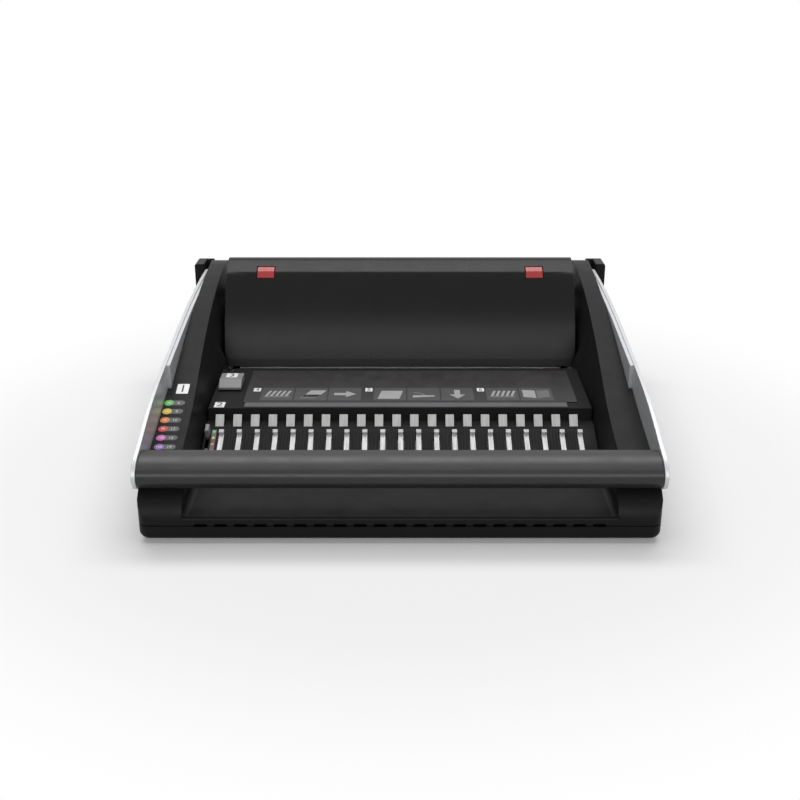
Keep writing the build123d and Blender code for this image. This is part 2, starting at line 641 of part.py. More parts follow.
def make_drive_bar():
    """Right-hand bar from the opener cam to the finger plate, inside the side housing."""
    y, z = follower_centre(OPENER_FOLLOWER_RADIUS, CAM_BASE_RADIUS, OPENER_CONTACT)
    front = on_slope(sum(TONGUE) / 2, TONGUE_TOP - CARRIAGE_THICKNESS / 2)
    span = math.hypot(y - front[0], z - front[1])
    angle = math.degrees(math.atan2(z - front[1], y - front[0]))
    middle = Location(((y + front[0]) / 2, (z + front[1]) / 2), angle)
    strip = middle * SlotCenterToCenter(span, 2 * OPENER_FOLLOWER_RADIUS)
    bar = across(strip, DRIVE_BAR_INNER, DRIVE_BAR_INNER + DRIVE_BAR_THICKNESS)
    return bar + rod(DRIVE_BAR_INNER, OPENER_CAM_X + CAM_THICKNESS / 2, y, z, OPENER_FOLLOWER_RADIUS)


drive_bar = make_drive_bar()
save("finger_plate", make_finger_plate())
save_pair("opener_drive_bar", drive_bar)


# ---- Selector and edge guide ----

def make_selector():
    """Small slider that sets how far the comb opens."""
    half = SELECTOR_WIDTH / 2
    s_span = (SELECTOR_REST - SELECTOR_LENGTH / 2, SELECTOR_REST + SELECTOR_LENGTH / 2)
    knob = slope_block((SELECTOR_X - half, SELECTOR_X + half), s_span, (SLIDE_GAP, SELECTOR_HEIGHT))
    knob = chamfer(knob.faces().sort_by(Axis.Z)[-1].edges(), 0.6)
    neck = (SELECTOR_REST - 2, SELECTOR_REST + 2)
    shoe_top = -WALL - SLIDE_GAP
    for width, n_span in ((SELECTOR_STEM, (shoe_top, SLIDE_GAP)), (SELECTOR_SHOE, (shoe_top - SHOE_THICKNESS, shoe_top))):
        knob += slope_block((SELECTOR_X - width / 2, SELECTOR_X + width / 2), neck, n_span)
    return knob


def guide_arm_top():
    return panel_height(GUIDE_STEM[0]) - WALL - SLIDE_GAP


def make_edge_guide_knob():
    """Wedge-shaped thumb block with a stem through the panel."""
    y_low, y_high = GUIDE_Y
    low = panel_height(y_high) + SLIDE_GAP
    high = low + GUIDE_KNOB_HEIGHT
    knob = across(face([(y_low, low), (y_high, low), (y_high, high), (y_low + GUIDE_RAMP, high), (y_low, low + 2)]),
                  *GUIDE_X)
    knob = fillet(knob.edges().filter_by(Axis.X).group_by(Axis.Z)[-1], 1.2)
    return knob + block((FENCE_X, FENCE_X + GUIDE_STEM_WIDTH), GUIDE_STEM, (guide_arm_top(), low))


def make_edge_guide_fence():
    """Strip under the panel that carries the fence standing in the throat."""
    arm_low = DIE_TOP + SLIDE_GAP
    top = guide_arm_top()
    side = (FENCE_X, FENCE_X + FENCE_THICKNESS)
    rear = THROAT_REAR - SLIDE_GAP
    strip = block(side, (GUIDE_STEM[0], rear), (arm_low, top))
    strip += block(side, (THROAT_FRONT + SLIDE_GAP, rear), (PAPER_STOP_HEIGHT + SLIDE_GAP, arm_low))
    return strip + block((FENCE_X, FENCE_X + GUIDE_STEM_WIDTH), GUIDE_STEM, (arm_low, top))


save("comb_size_selector", make_selector())
save("edge_guide_knob", make_edge_guide_knob())
save("edge_guide_fence", make_edge_guide_fence())


# ---- Punch unit: fixed frame ----

def punch_holes(y_span):
    half_x = PIN_WIDTH / 2 + RUN_GAP
    half_z = PIN_THICKNESS / 2 + RUN_GAP
    return [block((x - half_x, x + half_x), y_span, (PUNCH_HEIGHT - half_z, PUNCH_HEIGHT + half_z))
            for x in pitch_positions()]


def punch_rod_holes(y_span, radius):
    lower = Plane(origin=(0, y_span[0], PUNCH_ROD_HEIGHT), x_dir=(1, 0, 0), z_dir=(0, 1, 0))
    return [extrude(lower * Location((x, 0)) * Circle(radius), y_span[1] - y_span[0])
            for x in (-PUNCH_ROD_X, PUNCH_ROD_X)]


def make_front_die():
    span = (THROAT_FRONT - DIE_THICKNESS, THROAT_FRONT)
    plate = block((-FRAME_INNER, FRAME_INNER), span, (DIE_BOTTOM, DIE_TOP))
    return plate - punch_holes((span[0] - OVERLAP, span[1] + OVERLAP))


def make_rear_guide():
    span = (THROAT_REAR, THROAT_REAR + GUIDE_THICKNESS)
    plate = block((-FRAME_INNER, FRAME_INNER), span, (DIE_BOTTOM, DIE_TOP - GUIDE_DROP))
    return plate - punch_holes((span[0] - OVERLAP, span[1] + OVERLAP))


def make_frame_plate():
    """Right-hand steel side plate that carries the dies, the cross bar and the shaft."""
    front = THROAT_FRONT - DIE_THICKNESS - 4
    shoulder = DIE_TOP - 1
    crown = PIVOT_Z + FRAME_TOP
    sketch = face([(front, WALL), (front, shoulder), (THROAT_REAR + GUIDE_THICKNESS, shoulder),
                   (PIVOT_Y - FRAME_TOP - 8, crown - 4), (PIVOT_Y - FRAME_TOP, crown), (PIVOT_Y + FRAME_TOP - 4, crown),
                   (PIVOT_Y + FRAME_TOP, crown - 6), (PIVOT_Y + FRAME_TOP, WALL)])
    plate = across(sketch, FRAME_INNER, FRAME_INNER + FRAME_PLATE)
    through = (FRAME_INNER - OVERLAP, FRAME_INNER + FRAME_PLATE + OVERLAP)
    plate -= across(face([(WINDOW_START + back, z) for back, z in FRAME_WINDOW]), *through)
    return plate - rod(*through, PIVOT_Y, PIVOT_Z, BUSH_RADIUS)


def make_shaft_bush():
    bush = rod(FRAME_INNER, FRAME_INNER + FRAME_PLATE, PIVOT_Y, PIVOT_Z, BUSH_RADIUS)
    bush += rod(FRAME_INNER - BUSH_COLLAR, FRAME_INNER, PIVOT_Y, PIVOT_Z, BUSH_RADIUS + BUSH_COLLAR_WIDTH)
    return bush - rod(FRAME_INNER - 2 * BUSH_COLLAR, WELL_HALF, PIVOT_Y, PIVOT_Z, SHAFT_RADIUS + RUN_GAP)


def make_rear_crossbar():
    bar_low = PUNCH_HEIGHT - PUNCH_BAR_HEIGHT / 2
    span = (CROSSBAR_Y, CROSSBAR_Y + CROSSBAR_DEPTH)
    bar = block((-FRAME_INNER, FRAME_INNER), span, (bar_low, bar_low + PUNCH_BAR_HEIGHT))
    return bar - punch_rod_holes((span[0] - OVERLAP, span[1] + OVERLAP), PUNCH_ROD_RADIUS + RUN_GAP)


frame_plate = make_frame_plate()
save("front_die_plate", make_front_die())
save("rear_guide_plate", make_rear_guide())
save("paper_stop", block((-FRAME_INNER, FRAME_INNER), (THROAT_FRONT, THROAT_REAR), (DIE_BOTTOM, PAPER_STOP_HEIGHT)))
save_pair("punch_frame_plate", frame_plate)
save("shaft_bushes", make_shaft_bush(), mirrored(make_shaft_bush()))
save("rear_crossbar", make_rear_crossbar())
save("punch_guide_rods", *punch_rod_holes((THROAT_REAR + GUIDE_THICKNESS, CROSSBAR_Y + CROSSBAR_DEPTH),
                                          PUNCH_ROD_RADIUS))


# ---- Punch unit: moving bar, pins and cam brackets ----

def make_punch_bar():
    low = PUNCH_HEIGHT - PUNCH_BAR_HEIGHT / 2
    high = low + PUNCH_BAR_HEIGHT
    rear = PUNCH_BAR_FRONT + PUNCH_BAR_DEPTH
    bar = block((-PUNCH_BAR_HALF, PUNCH_BAR_HALF), (PUNCH_BAR_FRONT, rear), (low, high))
    bar = fillet(bar.edges().filter_by(Axis.X), BAR_EDGE)
    return bar - punch_rod_holes((PUNCH_BAR_FRONT - OVERLAP, rear + OVERLAP), PUNCH_ROD_RADIUS + RUN_GAP)


def make_punch_bracket():
    """Right-hand arm from the punch bar up to its cam."""
    top = PUNCH_HEIGHT + PUNCH_BAR_HEIGHT / 2
    y, z = follower_centre(PUNCH_FOLLOWER_RADIUS, CAM_BASE_RADIUS + PUNCH_TRAVEL, PUNCH_CONTACT)
    r = PUNCH_FOLLOWER_RADIUS
    arm = face([(PUNCH_BAR_FRONT + BAR_EDGE, top), (PUNCH_BAR_FRONT + PUNCH_BAR_DEPTH - BAR_EDGE, top),
                (y + 0.5 * r, z - 0.8 * r), (y - 0.2 * r, z + 0.9 * r), (y - 0.9 * r, z + 0.3 * r)])
    x_span = (CAM_X - CAM_THICKNESS / 2, CAM_X + CAM_THICKNESS / 2)
    return across(arm, *x_span) + rod(*x_span, y, z, r)


def make_punch_pins():
    half_x = PIN_WIDTH / 2
    half_z = PIN_THICKNESS / 2
    return [block((x - half_x, x + half_x), (PIN_TIP, PUNCH_BAR_FRONT), (PUNCH_HEIGHT - half_z, PUNCH_HEIGHT + half_z))
            for x in pitch_positions()]


bracket = make_punch_bracket()
save("punch_bar", make_punch_bar())
save("punch_pins", *make_punch_pins())
save_pair("punch_bracket", bracket)


# ---- Handle: arms, bar, cross shaft and cams ----

def arm_face(inset=0.0):
    """Side outline of the arm, drawn in from its upper and lower edges by the inset."""
    radius = ARM_REAR_RADIUS - inset
    rear_top = (PIVOT_Y, PIVOT_Z + radius)
    rear_low = (PIVOT_Y, PIVOT_Z - radius)
    high = [(y, z - inset) for y, z in along_depth(ARM_UPPER)]
    low = [(y, z + inset) for y, z in along_depth(ARM_LOWER)]
    rear = ThreePointArc(rear_top, (PIVOT_Y + radius, PIVOT_Z), rear_low)
    nose = ThreePointArc(low[-1], (ARM_NOSE[0] + inset, ARM_NOSE[1] + inset), high[0])
    return outline(Spline(*high, rear_top), rear, Spline(rear_low, *low), nose)


def make_handle_arm():
    """Right-hand arm: a flat plate with a thicker inner stretch towards the pivot."""
    arm = across(arm_face(), ARM_INNER, ARM_INNER + ARM_PLATE)
    stretch = across(arm_face(ARM_RIM), ARM_INNER - ARM_FLANGE, ARM_INNER)
    arm += stretch & block((0, BODY_HALF), (ARM_FLANGE_START, BODY_DEPTH), (0, ABOVE_ALL))
    inner = ARM_INNER - ARM_FLANGE - OVERLAP
    return arm - rod(inner, ARM_INNER + ARM_PLATE + OVERLAP, PIVOT_Y, PIVOT_Z, SHAFT_RADIUS + RUN_GAP)


def bar_face():
    """Section of the handle bar: full rounded crown, blunt nose and an undercut below it."""
    crown = ThreePointArc((BAR_REAR, BAR_TOP), (16.0, BAR_TOP - 1.0), (6.2, BAR_TOP - 5.0))
    nose = ThreePointArc((6.2, BAR_TOP - 5.0), (1.7, 49.5), (3.2, 43.0))
    undercut = ThreePointArc((3.2, 43.0), (7.6, 38.6), (13.6, BAR_BOTTOM))
    back = Polyline((13.6, BAR_BOTTOM), (BAR_REAR - 3, BAR_BOTTOM), (BAR_REAR, BAR_BOTTOM + 3), (BAR_REAR, BAR_TOP))
    return outline(crown, nose, undercut, back)


def make_handle_bar():
    bar = across(bar_face(), -ARM_INNER, ARM_INNER)
    return bar - rod(-ARM_INNER - OVERLAP, ARM_INNER + OVERLAP, TUBE_Y, TUBE_Z, TUBE_RADIUS + RUN_GAP)


def make_core_tube():
    tube = rod(-ARM_INNER, ARM_INNER, TUBE_Y, TUBE_Z, TUBE_RADIUS)
    return tube - rod(-ARM_INNER - OVERLAP, ARM_INNER + OVERLAP, TUBE_Y, TUBE_Z, TUBE_RADIUS - TUBE_WALL)


def cam_face(start_angle, start_reach, end_reach, follower_radius):
    """Disc whose edge keeps a round follower on an even spiral as the handle swings."""
    rate = (end_reach - start_reach) / SWING
    points = []
    for step in range(-1, 12):
        turn = SWING * step / 10
        angle = start_angle + turn
        reach = start_reach + rate * turn + follower_radius
        slant = math.atan2(rate, reach)
        inward = angle + math.pi - slant
        depth = follower_radius + SLIDE_GAP
        points.append((PIVOT_Y + reach * math.cos(angle) + depth * math.cos(inward),
                       PIVOT_Z + reach * math.sin(angle) + depth * math.sin(inward)))
    lobe = outline(*arcs_through(points), Polyline(points[-1], (PIVOT_Y, PIVOT_Z), points[0]))
    return lobe + Location((PIVOT_Y, PIVOT_Z)) * Circle(CAM_HUB)


def make_cam(x, sketch):
    x_span = (x - CAM_THICKNESS / 2, x + CAM_THICKNESS / 2)
    cam = across(sketch, *x_span)
    return cam - rod(x_span[0] - OVERLAP, x_span[1] + OVERLAP, PIVOT_Y, PIVOT_Z, SHAFT_RADIUS + RUN_GAP)


arm = make_handle_arm()
punch_cam = make_cam(CAM_X, cam_face(PUNCH_CONTACT, CAM_BASE_RADIUS + PUNCH_TRAVEL, CAM_BASE_RADIUS,
                                     PUNCH_FOLLOWER_RADIUS))
opener_cam = make_cam(OPENER_CAM_X, cam_face(OPENER_CONTACT, CAM_BASE_RADIUS, CAM_BASE_RADIUS + OPENER_TRAVEL,
                                             OPENER_FOLLOWER_RADIUS))
save_pair("handle_arm", arm)
save("handle_bar", make_handle_bar())
save("handle_core_tube", make_core_tube())
save("cross_shaft", rod(-ARM_INNER - ARM_PLATE, ARM_INNER + ARM_PLATE, PIVOT_Y, PIVOT_Z, SHAFT_RADIUS))
save_pair("punch_cam", punch_cam)
save_pair("opener_cam", opener_cam)


# ---- Lid with its latches, rear cover and hinge ----

LATCH_SLOPE = math.radians(35.0)        # the latch's face, between the lid's front and its top
HINGE_SIDES = (-HINGE_X, HINGE_X)


def latch_prism(x, clearance):
    """Block that a latch fills, square to its press direction."""
    y, z = LID_EDGE[-1]
    normal = (0, -math.sin(LATCH_SLOPE), math.cos(LATCH_SLOPE))
    plane = Plane(origin=(x, y, z), x_dir=(1, 0, 0), z_dir=normal)
    sketch = plane * Rectangle(LATCH_WIDTH + 2 * clearance, LATCH_LENGTH + 2 * clearance)
    return extrude(sketch, -LATCH_DEPTH) + extrude(sketch, LATCH_DEPTH)


def knuckles(x_offsets, radius):
    return [rod(side + low, side + high, HINGE_Y, HINGE_Z, radius) for side in HINGE_SIDES for low, high in x_offsets]


def make_lid():
    """Curved cover over the punch unit, with knuckles for its rear hinge."""
    sketch = lid_face()
    front = moved_in(LID_EDGE, WALL)
    rear = from_back(LID_REAR)
    top = moved_in([front[-1], from_back(LID_CREST), rear], WALL)
    past = rear[0] + 2 * WALL
    below = LID_EDGE[0][1] - WALL
    hollow = Polyline(front[-1], top[1], (past, top[2][1]), (past, below), (front[0][0], below), front[0])
    inner = outline(ThreePointArc(*front), hollow)
    shell = across(sketch - inner, -LID_HALF, LID_HALF)
    shell += across(sketch, LID_HALF - WALL, LID_HALF)
    shell += across(sketch, -LID_HALF, -LID_HALF + WALL)
    for x in (-LATCH_X, LATCH_X):
        shell -= latch_prism(x, OPEN_GAP)
    half = KNUCKLE_LENGTH / 2
    for side in HINGE_SIDES:
        shell += block((side - half, side + half), (rear[0] - 6, HINGE_Y), (HINGE_Z, HINGE_Z + KNUCKLE_RADIUS))
    shell += knuckles([(-half, half)], KNUCKLE_RADIUS)
    return shell - knuckles([(-KNUCKLE_LENGTH, KNUCKLE_LENGTH)], HINGE_PIN_RADIUS + RUN_GAP)


def make_latch(x):
    skin = across(lid_face(), x - LATCH_WIDTH, x + LATCH_WIDTH)
    return skin & latch_prism(x, 0)


def knuckle_ends():
    inner = KNUCKLE_LENGTH / 2 + SLIDE_GAP
    return [(-inner - FIXED_KNUCKLE, -inner), (inner, inner + FIXED_KNUCKLE)]


def make_rear_cover():
    """Rear wall with a shelf under the lid's edge and the fixed hinge knuckles."""
    wall = block((-WELL_HALF, WELL_HALF), (BODY_DEPTH - WALL, BODY_DEPTH), (REAR_WALL_BOTTOM, REAR_WALL_TOP))
    half = FRAME_INNER - OPEN_GAP
    wall += block((-half, half), (BODY_DEPTH - SHELF_DEPTH, BODY_DEPTH), (SHELF_TOP - WALL, SHELF_TOP))
    for side in HINGE_SIDES:
        for low, high in knuckle_ends():
            wall += block((side + low, side + high), (HINGE_Y - KNUCKLE_RADIUS, BODY_DEPTH),
                          (SHELF_TOP - WALL, HINGE_Z))
    wall += knuckles(knuckle_ends(), KNUCKLE_RADIUS)
    return wall - knuckles([(-2 * KNUCKLE_LENGTH, 2 * KNUCKLE_LENGTH)], HINGE_PIN_RADIUS)


save("lid", make_lid())
save("lid_latch_left", make_latch(-LATCH_X))
save("lid_latch_right", make_latch(LATCH_X))
save("rear_cover", make_rear_cover())
save("lid_hinge_pins", *knuckles([(knuckle_ends()[0][0], knuckle_ends()[1][1])], HINGE_PIN_RADIUS))


# ---- Chip tray ----

def make_chip_tray():
    """Open drawer that slides out at the back, with a finger recess in its face."""
    low = WALL + TRAY_FLOOR_GAP
    face_front = BODY_DEPTH - TRAY_FACE
    tray = block((-TRAY_HALF, TRAY_HALF), (TRAY_FRONT, face_front), (low, TRAY_HEIGHT))
    inner = TRAY_HALF - TRAY_WALL
    tray -= block((-inner, inner), (TRAY_FRONT + TRAY_WALL, face_front - TRAY_WALL),
                  (low + TRAY_WALL, TRAY_HEIGHT + OVERLAP))
    half = WELL_HALF - OPEN_GAP
    top = REAR_WALL_BOTTOM - OPEN_GAP
    tray += block((-half, half), (face_front, BODY_DEPTH), (low, top))
    return tray - block((-GRIP_HALF, GRIP_HALF), (BODY_DEPTH - GRIP_DEPTH, BODY_DEPTH + OVERLAP),
                        (low + GRIP_MARGIN, top - GRIP_MARGIN))


save("chip_tray", make_chip_tray())
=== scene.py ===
import json
import math

import bmesh
import bpy
from bpy.props import FloatProperty, FloatVectorProperty, PointerProperty
from mathutils import Matrix, Vector
from mathutils.bvhtree import BVHTree


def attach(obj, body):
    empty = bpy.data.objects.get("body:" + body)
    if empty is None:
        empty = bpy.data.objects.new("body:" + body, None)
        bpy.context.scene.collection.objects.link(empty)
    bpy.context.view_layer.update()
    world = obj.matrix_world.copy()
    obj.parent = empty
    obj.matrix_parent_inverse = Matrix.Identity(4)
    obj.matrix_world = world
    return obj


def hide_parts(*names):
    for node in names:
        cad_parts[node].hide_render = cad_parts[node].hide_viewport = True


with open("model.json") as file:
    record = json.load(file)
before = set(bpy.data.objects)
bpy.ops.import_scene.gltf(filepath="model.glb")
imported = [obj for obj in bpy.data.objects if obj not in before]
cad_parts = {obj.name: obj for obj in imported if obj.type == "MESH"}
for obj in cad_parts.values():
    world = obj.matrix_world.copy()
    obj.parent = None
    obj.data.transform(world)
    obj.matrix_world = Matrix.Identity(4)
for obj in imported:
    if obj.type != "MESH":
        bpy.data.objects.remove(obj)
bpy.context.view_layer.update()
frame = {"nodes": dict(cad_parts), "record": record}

bl_info = {
    "name": "Comb binding machine",
    "version": (1, 0, 0),
    "blender": (4, 5, 0),
    "location": "View3D > Sidebar > Comb binder",
    "description": "Dresses the packed comb binding machine with shells, plates, labels and finishes",
    "category": "Object",
}

MM = 0.001
COMB_PITCH = 14.2875 * MM
COMB_HOLES = 21
DECK_TILT = math.radians(22.4)
UP = Vector((0.0, 0.0, 1.0))
ACROSS = Vector((1.0, 0.0, 0.0))


class BinderSizes(bpy.types.PropertyGroup):
    """Sizes of the dressed pieces."""
    housing_edge: FloatProperty(name="Housing edge", description="Rounding on the edges of the housings",
                                default=0.9 * MM, subtype="DISTANCE", unit="LENGTH")
    plate_edge: FloatProperty(name="Plate edge", description="Rounding on thin steel and printed plates",
                              default=0.2 * MM, subtype="DISTANCE", unit="LENGTH")
    label_lift: FloatProperty(name="Label thickness", description="Thickness of printed labels",
                              default=0.25 * MM, subtype="DISTANCE", unit="LENGTH")
    rib_start: FloatProperty(name="Rib start", description="Where the deck ribs start, up the slope",
                             default=1.0 * MM, subtype="DISTANCE", unit="LENGTH")
    rib_end: FloatProperty(name="Rib end", description="Where the deck ribs end, up the slope",
                           default=52.0 * MM, subtype="DISTANCE", unit="LENGTH")
    rib_width: FloatProperty(name="Rib width", description="Width of one deck rib",
                             default=0.9 * MM, subtype="DISTANCE", unit="LENGTH")
    rib_height: FloatProperty(name="Rib height", description="Height of one deck rib",
                              default=0.45 * MM, subtype="DISTANCE", unit="LENGTH")
    finger_shift: FloatProperty(name="Finger shift", description="Fingers to the right of their punch position",
                                default=0.6 * MM, subtype="DISTANCE", unit="LENGTH")
    deck_foot: FloatVectorProperty(name="Deck foot", description="Place (y, z) where the slope starts",
                                   size=2, default=(-120.8 * MM, 20.8 * MM), unit="LENGTH")
    grain: FloatProperty(name="Grain size", description="Spacing of the moulded grain",
                         default=0.45 * MM, subtype="DISTANCE", unit="LENGTH")


class BinderColours(bpy.types.PropertyGroup):
    """Colours of the finishes."""
    housing: FloatVectorProperty(name="Housing", description="Moulded housing plastic", subtype="COLOR",
                                 size=4, default=(0.008, 0.008, 0.0082, 1.0))
    lid: FloatVectorProperty(name="Lid", description="Satin lid plastic", subtype="COLOR",
                             size=4, default=(0.006, 0.006, 0.0061, 1.0))
    grip: FloatVectorProperty(name="Grip", description="Handle bar plastic", subtype="COLOR",
                              size=4, default=(0.018, 0.018, 0.0183, 1.0))
    silver: FloatVectorProperty(name="Silver", description="Paint on the handle arms", subtype="COLOR",
                                size=4, default=(0.56, 0.57, 0.585, 1.0))
    steel: FloatVectorProperty(name="Steel", description="Zinc-plated steel", subtype="COLOR",
                               size=4, default=(0.66, 0.66, 0.65, 1.0))
    accent: FloatVectorProperty(name="Latch", description="Latch buttons", subtype="COLOR",
                                size=4, default=(0.33, 0.014, 0.016, 1.0))


# ---- Shader building blocks ----

def new_material(name):
    material = bpy.data.materials.new(name)
    material.use_nodes = True
    nodes = material.node_tree.nodes
    return material, nodes, material.node_tree.links, nodes["Principled BSDF"]


def object_coordinates(nodes, links, scale=(1.0, 1.0, 1.0)):
    place = nodes.new("ShaderNodeTexCoord")
    mapping = nodes.new("ShaderNodeMapping")
    mapping.inputs["Scale"].default_value = scale
    links.new(place.outputs["Object"], mapping.inputs["Vector"])
    return mapping.outputs["Vector"]


def noise(nodes, links, vector, scale, detail):
    texture = nodes.new("ShaderNodeTexNoise")
    texture.inputs["Scale"].default_value = scale
    texture.inputs["Detail"].default_value = detail
    links.new(vector, texture.inputs["Vector"])
    return texture.outputs["Fac"]


def ramp(nodes, links, factor, low, high):
    """Colour ramp between two colours, or between two greys given as numbers."""
    node = nodes.new("ShaderNodeValToRGB")
    for element, value, position in zip(node.color_ramp.elements, (low, high), (0.3, 0.7)):
        element.position = position
        element.color = value if hasattr(value, "__len__") else (value, value, value, 1.0)
    links.new(factor, node.inputs["Fac"])
    return node.outputs["Color"]


def tinted(colour, share):
    return tuple(channel * share for channel in colour[:3]) + (1.0,)


def vary_colour(nodes, links, shader, factor, colour, darkest, lightest):
    """Base colour that drifts between two shares of the given colour."""
    shades = ramp(nodes, links, factor, tinted(colour, darkest), tinted(colour, lightest))
    links.new(shades, shader.inputs["Base Color"])


def vary_roughness(nodes, links, shader, factor, low, high):
    links.new(ramp(nodes, links, factor, low, high), shader.inputs["Roughness"])


def add_bump(nodes, links, shader, height, strength, distance):
    bump = nodes.new("ShaderNodeBump")
    bump.inputs["Strength"].default_value = strength
    bump.inputs["Distance"].default_value = distance
    links.new(height, bump.inputs["Height"])
    links.new(bump.outputs["Normal"], shader.inputs["Normal"])


# ---- Finishes ----

def moulded_plastic(name, colour, roughness, grain, strength, spread=0.05, specular=0.36):
    """Injection-moulded plastic with a fine spark-eroded grain and slightly uneven sheen."""
    material, nodes, links, shader = new_material(name)
    vector = object_coordinates(nodes, links)
    cells = nodes.new("ShaderNodeTexVoronoi")
    cells.inputs["Scale"].default_value = 1.0 / grain
    links.new(vector, cells.inputs["Vector"])
    add_bump(nodes, links, shader, cells.outputs["Distance"], strength, 0.06 * MM)
    cloud = noise(nodes, links, vector, 22.0, 4.0)
    vary_colour(nodes, links, shader, cloud, colour, 0.88, 1.12)
    patch = noise(nodes, links, vector, 60.0, 5.0)
    vary_roughness(nodes, links, shader, patch, roughness - spread, roughness + spread)
    shader.inputs["Specular IOR Level"].default_value = specular
    return material


def silver_paint(name, colour):
    """Fine metallic paint with a soft clear finish."""
    material, nodes, links, shader = new_material(name)
    vector = object_coordinates(nodes, links)
    flakes = noise(nodes, links, vector, 2600.0, 1.0)
    vary_colour(nodes, links, shader, flakes, colour, 0.9, 1.1)
    cloud = noise(nodes, links, vector, 45.0, 4.0)
    vary_roughness(nodes, links, shader, cloud, 0.34, 0.42)
    add_bump(nodes, links, shader, flakes, 0.08, 0.03 * MM)
    shader.inputs["Metallic"].default_value = 0.35
    return material


def rolled_steel(name, colour, roughness, stretch=(40.0, 900.0, 900.0), metallic=0.9):
    """Plated sheet steel with a faint rolling grain."""
    material, nodes, links, shader = new_material(name)
    streaks = noise(nodes, links, object_coordinates(nodes, links, stretch), 1.0, 4.0)
    vary_colour(nodes, links, shader, streaks, colour, 0.86, 1.08)
    vary_roughness(nodes, links, shader, streaks, roughness + 0.08, roughness - 0.06)
    add_bump(nodes, links, shader, streaks, 0.12, 0.04 * MM)
    shader.inputs["Metallic"].default_value = metallic
    return material


def printed_plate(name, colour, roughness=0.42):
    """Satin printed film."""
    material, nodes, links, shader = new_material(name)
    vector = object_coordinates(nodes, links)
    fibre = noise(nodes, links, vector, 900.0, 3.0)
    vary_colour(nodes, links, shader, fibre, colour, 0.95, 1.04)
    cloud = noise(nodes, links, vector, 80.0, 3.0)
    vary_roughness(nodes, links, shader, cloud, roughness - 0.05, roughness + 0.05)
    add_bump(nodes, links, shader, fibre, 0.06, 0.03 * MM)
    return material


def rubber(name):
    """Dull rubber with a little dust."""
    material, nodes, links, shader = new_material(name)
    dust = noise(nodes, links, object_coordinates(nodes, links), 300.0, 5.0)
    links.new(ramp(nodes, links, dust, 0.010, 0.020), shader.inputs["Base Color"])
    add_bump(nodes, links, shader, dust, 0.3, 0.1 * MM)
    shader.inputs["Roughness"].default_value = 0.8
    return material


MATERIALS = {}

PRINT_COLOURS = {
    "white_print": (0.72, 0.72, 0.72, 1.0),
    "pale_print": (0.42, 0.42, 0.42, 1.0),
    "dark_print": (0.014, 0.014, 0.015, 1.0),
    "grey_pill_print": (0.045, 0.046, 0.05, 1.0),
    "tile_print": (0.040, 0.040, 0.042, 1.0),
    "tile_mid_print": (0.115, 0.115, 0.12, 1.0),
    "tile_pale_print": (0.30, 0.30, 0.30, 1.0),
    "instruction_film": (0.0075, 0.0060, 0.0065, 1.0),
    "green_print": (0.09, 0.42, 0.07, 1.0),
    "yellow_print": (0.62, 0.45, 0.03, 1.0),
    "orange_print": (0.60, 0.17, 0.03, 1.0),
    "red_print": (0.50, 0.035, 0.035, 1.0),
    "pink_print": (0.50, 0.10, 0.36, 1.0),
    "purple_print": (0.22, 0.09, 0.36, 1.0),
}
SLIDER_GREY = (0.20, 0.20, 0.205, 1.0)
TRIM_GREY = (0.085, 0.085, 0.088, 1.0)
BRONZE = (0.42, 0.28, 0.14, 1.0)

# CAD nodes that keep their own mesh, by finish
BARE_NODES = {
    "steel": ("base_screws", "cross_shaft", "front_die_plate", "handle_core_tube", "lid_hinge_pins",
              "opener_cam_left", "opener_cam_right", "opener_drive_bar_left", "opener_drive_bar_right",
              "opener_guide_rods", "paper_stop", "punch_bar", "punch_bracket_left", "punch_bracket_right",
              "punch_cam_left", "punch_cam_right", "punch_frame_plate_left", "punch_frame_plate_right",
              "punch_guide_rods", "punch_pins", "rear_crossbar", "rear_guide_plate"),
    "bronze": ("shaft_bushes",),
    "housing": ("edge_guide_fence",),
}


def make_finishes():
    sizes = bpy.context.scene.binder_sizes
    colours = bpy.context.scene.binder_colours
    grain = sizes.grain
    fine_grain = grain * 0.8
    across_streaks = (700.0, 60.0, 60.0)
    strip_streaks = (900.0, 60.0, 60.0)
    MATERIALS.update({
        "housing": moulded_plastic("grained_black_plastic", colours.housing, roughness=0.42,
                                   grain=grain, strength=0.22, specular=0.10),
        "lid": moulded_plastic("satin_lid_plastic", colours.lid, roughness=0.29,
                               grain=fine_grain, strength=0.08, spread=0.02, specular=0.15),
        "deck": moulded_plastic("matte_deck_plastic", tinted(colours.housing, 1.1), roughness=0.5,
                                grain=grain, strength=0.25, specular=0.08),
        "grip": moulded_plastic("grip_plastic", colours.grip, roughness=0.34,
                                grain=fine_grain, strength=0.12),
        "grey": moulded_plastic("grey_slider_plastic", SLIDER_GREY, roughness=0.42,
                                grain=grain, strength=0.15),
        "trim": moulded_plastic("grey_trim_plastic", TRIM_GREY, roughness=0.45,
                                grain=grain, strength=0.15),
        "latch": moulded_plastic("red_latch_plastic", colours.accent, roughness=0.30,
                                 grain=grain, strength=0.05, specular=0.5),
        "silver": silver_paint("silver_arm_paint", colours.silver),
        "steel": rolled_steel("rolled_steel", tinted(colours.steel, 0.8), roughness=0.36),
        "tine": rolled_steel("zinc_tine_steel", tinted(colours.steel, 0.62), roughness=0.5,
                             stretch=across_streaks, metallic=0.5),
        "strip": rolled_steel("finger_strip_steel", tinted(colours.steel, 0.7), roughness=0.5,
                              stretch=strip_streaks, metallic=0.4),
        "bronze": rolled_steel("bronze_bush", BRONZE, roughness=0.35),
        "rubber": rubber("foot_rubber"),
    })
    for name, colour in PRINT_COLOURS.items():
        MATERIALS[name] = printed_plate(name, colour)
    for finish, names in BARE_NODES.items():
        for name in names:
            set_finish(frame["nodes"][name].data, finish)


def set_finish(mesh, finish):
    mesh.materials.clear()
    mesh.materials.append(MATERIALS[finish])


# ---- Shells that stand for CAD nodes ----

